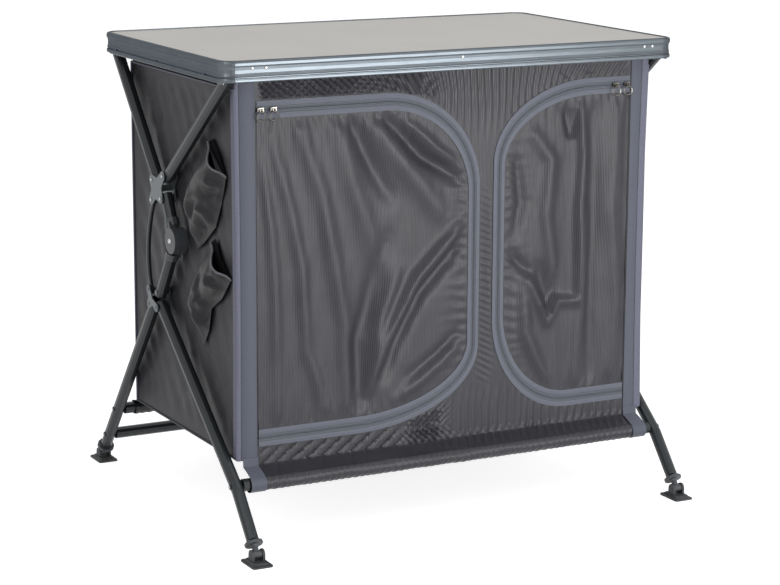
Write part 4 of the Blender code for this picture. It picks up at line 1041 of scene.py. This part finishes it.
def make_stage():
    """A white studio: the world, the floor and four softboxes."""
    world = bpy.data.worlds.new("studio")
    bpy.context.scene.world = world
    world.use_nodes = True
    tree = world.node_tree
    tree.nodes.clear()
    lit = add(tree, "Background", {"Color": (1, 1, 1, 1), "Strength": 0.42})
    backdrop = add(tree, "Background", {"Color": (1, 1, 1, 1), "Strength": 1.0})
    mixed = add(tree, "MixShader", links={0: seen_directly(tree), 1: lit.outputs[0], 2: backdrop.outputs[0]})
    add(tree, "OutputWorld", links={"Surface": mixed.outputs[0]})

    shape = bmesh.new()
    bmesh.ops.create_grid(shape, x_segments=2, y_segments=2, size=30)
    data = bpy.data.meshes.new("floor")
    shape.to_mesh(data)
    shape.free()
    floor = bpy.data.objects.new("floor", data)
    bpy.context.scene.collection.objects.link(floor)
    paper = bpy.data.materials.new("white_paper")
    paper.use_nodes = True
    tree = paper.node_tree
    tree.nodes.clear()
    part = add(tree, "Math", {1: 0.78}, {0: seen_directly(tree)}, operation="MULTIPLY")
    glow = add(tree, "Emission", {"Color": (1, 1, 1, 1)}, {"Strength": part.outputs[0]})
    chalk = add(tree, "BsdfDiffuse", {"Color": (0.80, 0.80, 0.80, 1)})
    mixed = add(tree, "AddShader", links={0: chalk.outputs[0], 1: glow.outputs[0]})
    add(tree, "OutputMaterial", links={"Surface": mixed.outputs[0]})
    data.materials.append(paper)

    # Name, place, aim, size in metres and power in watts
    for name, place, aim, size, power in (
        ("key_softbox", (1.9, -2.6, 2.6), (0, 0, 0.45), (1.6, 1.6), 8),
        ("low_softbox", (0.75, -2.9, 0.55), (-0.1, -0.28, 0.75), (1.7, 1.3), 51),
        ("left_softbox", (-2.8, -1.4, 1.8), (0, 0, 0.45), (1.4, 1.8), 15),
        ("top_softbox", (0.2, -0.4, 3.2), (0, 0, 0.8), (2.2, 1.6), 14),
    ):
        light = bpy.data.lights.new(name, "AREA")
        light.shape = "RECTANGLE"
        light.size, light.size_y = size
        light.energy = power
        obj = bpy.data.objects.new(name, light)
        obj.location = place
        obj.rotation_euler = (Vector(aim) - Vector(place)).to_track_quat("-Z", "Y").to_euler()
        bpy.context.scene.collection.objects.link(obj)


def make_camera():
    """The photograph's camera, as fitted: its focal length is in pixels of an image 780 wide."""
    data = bpy.data.cameras.new("camera")
    data.sensor_fit = "HORIZONTAL"
    data.sensor_width = 36
    data.lens = 2373.7 / 780 * 36
    data.clip_start = 0.05
    obj = bpy.data.objects.new("camera", data)
    bpy.context.scene.collection.objects.link(obj)
    yaw, pitch, roll = (math.radians(a) for a in (27.833, 12.149, 0.2925))
    ahead = Vector((math.sin(yaw) * math.cos(pitch), math.cos(yaw) * math.cos(pitch), -math.sin(pitch)))
    right = Vector((math.cos(yaw), -math.sin(yaw), 0))
    up = right.cross(ahead)
    right, up = right * math.cos(roll) + up * math.sin(roll), up * math.cos(roll) - right * math.sin(roll)
    for column, axis in enumerate((right, up, -ahead)):
        for row in range(3):
            obj.matrix_world[row][column] = axis[row]
    obj.matrix_world.translation = (-2.0245, -3.8604, 1.2995)
    bpy.context.scene.camera = obj
    bpy.context.scene.view_settings.view_transform = "Standard"


make_stage()
make_camera()
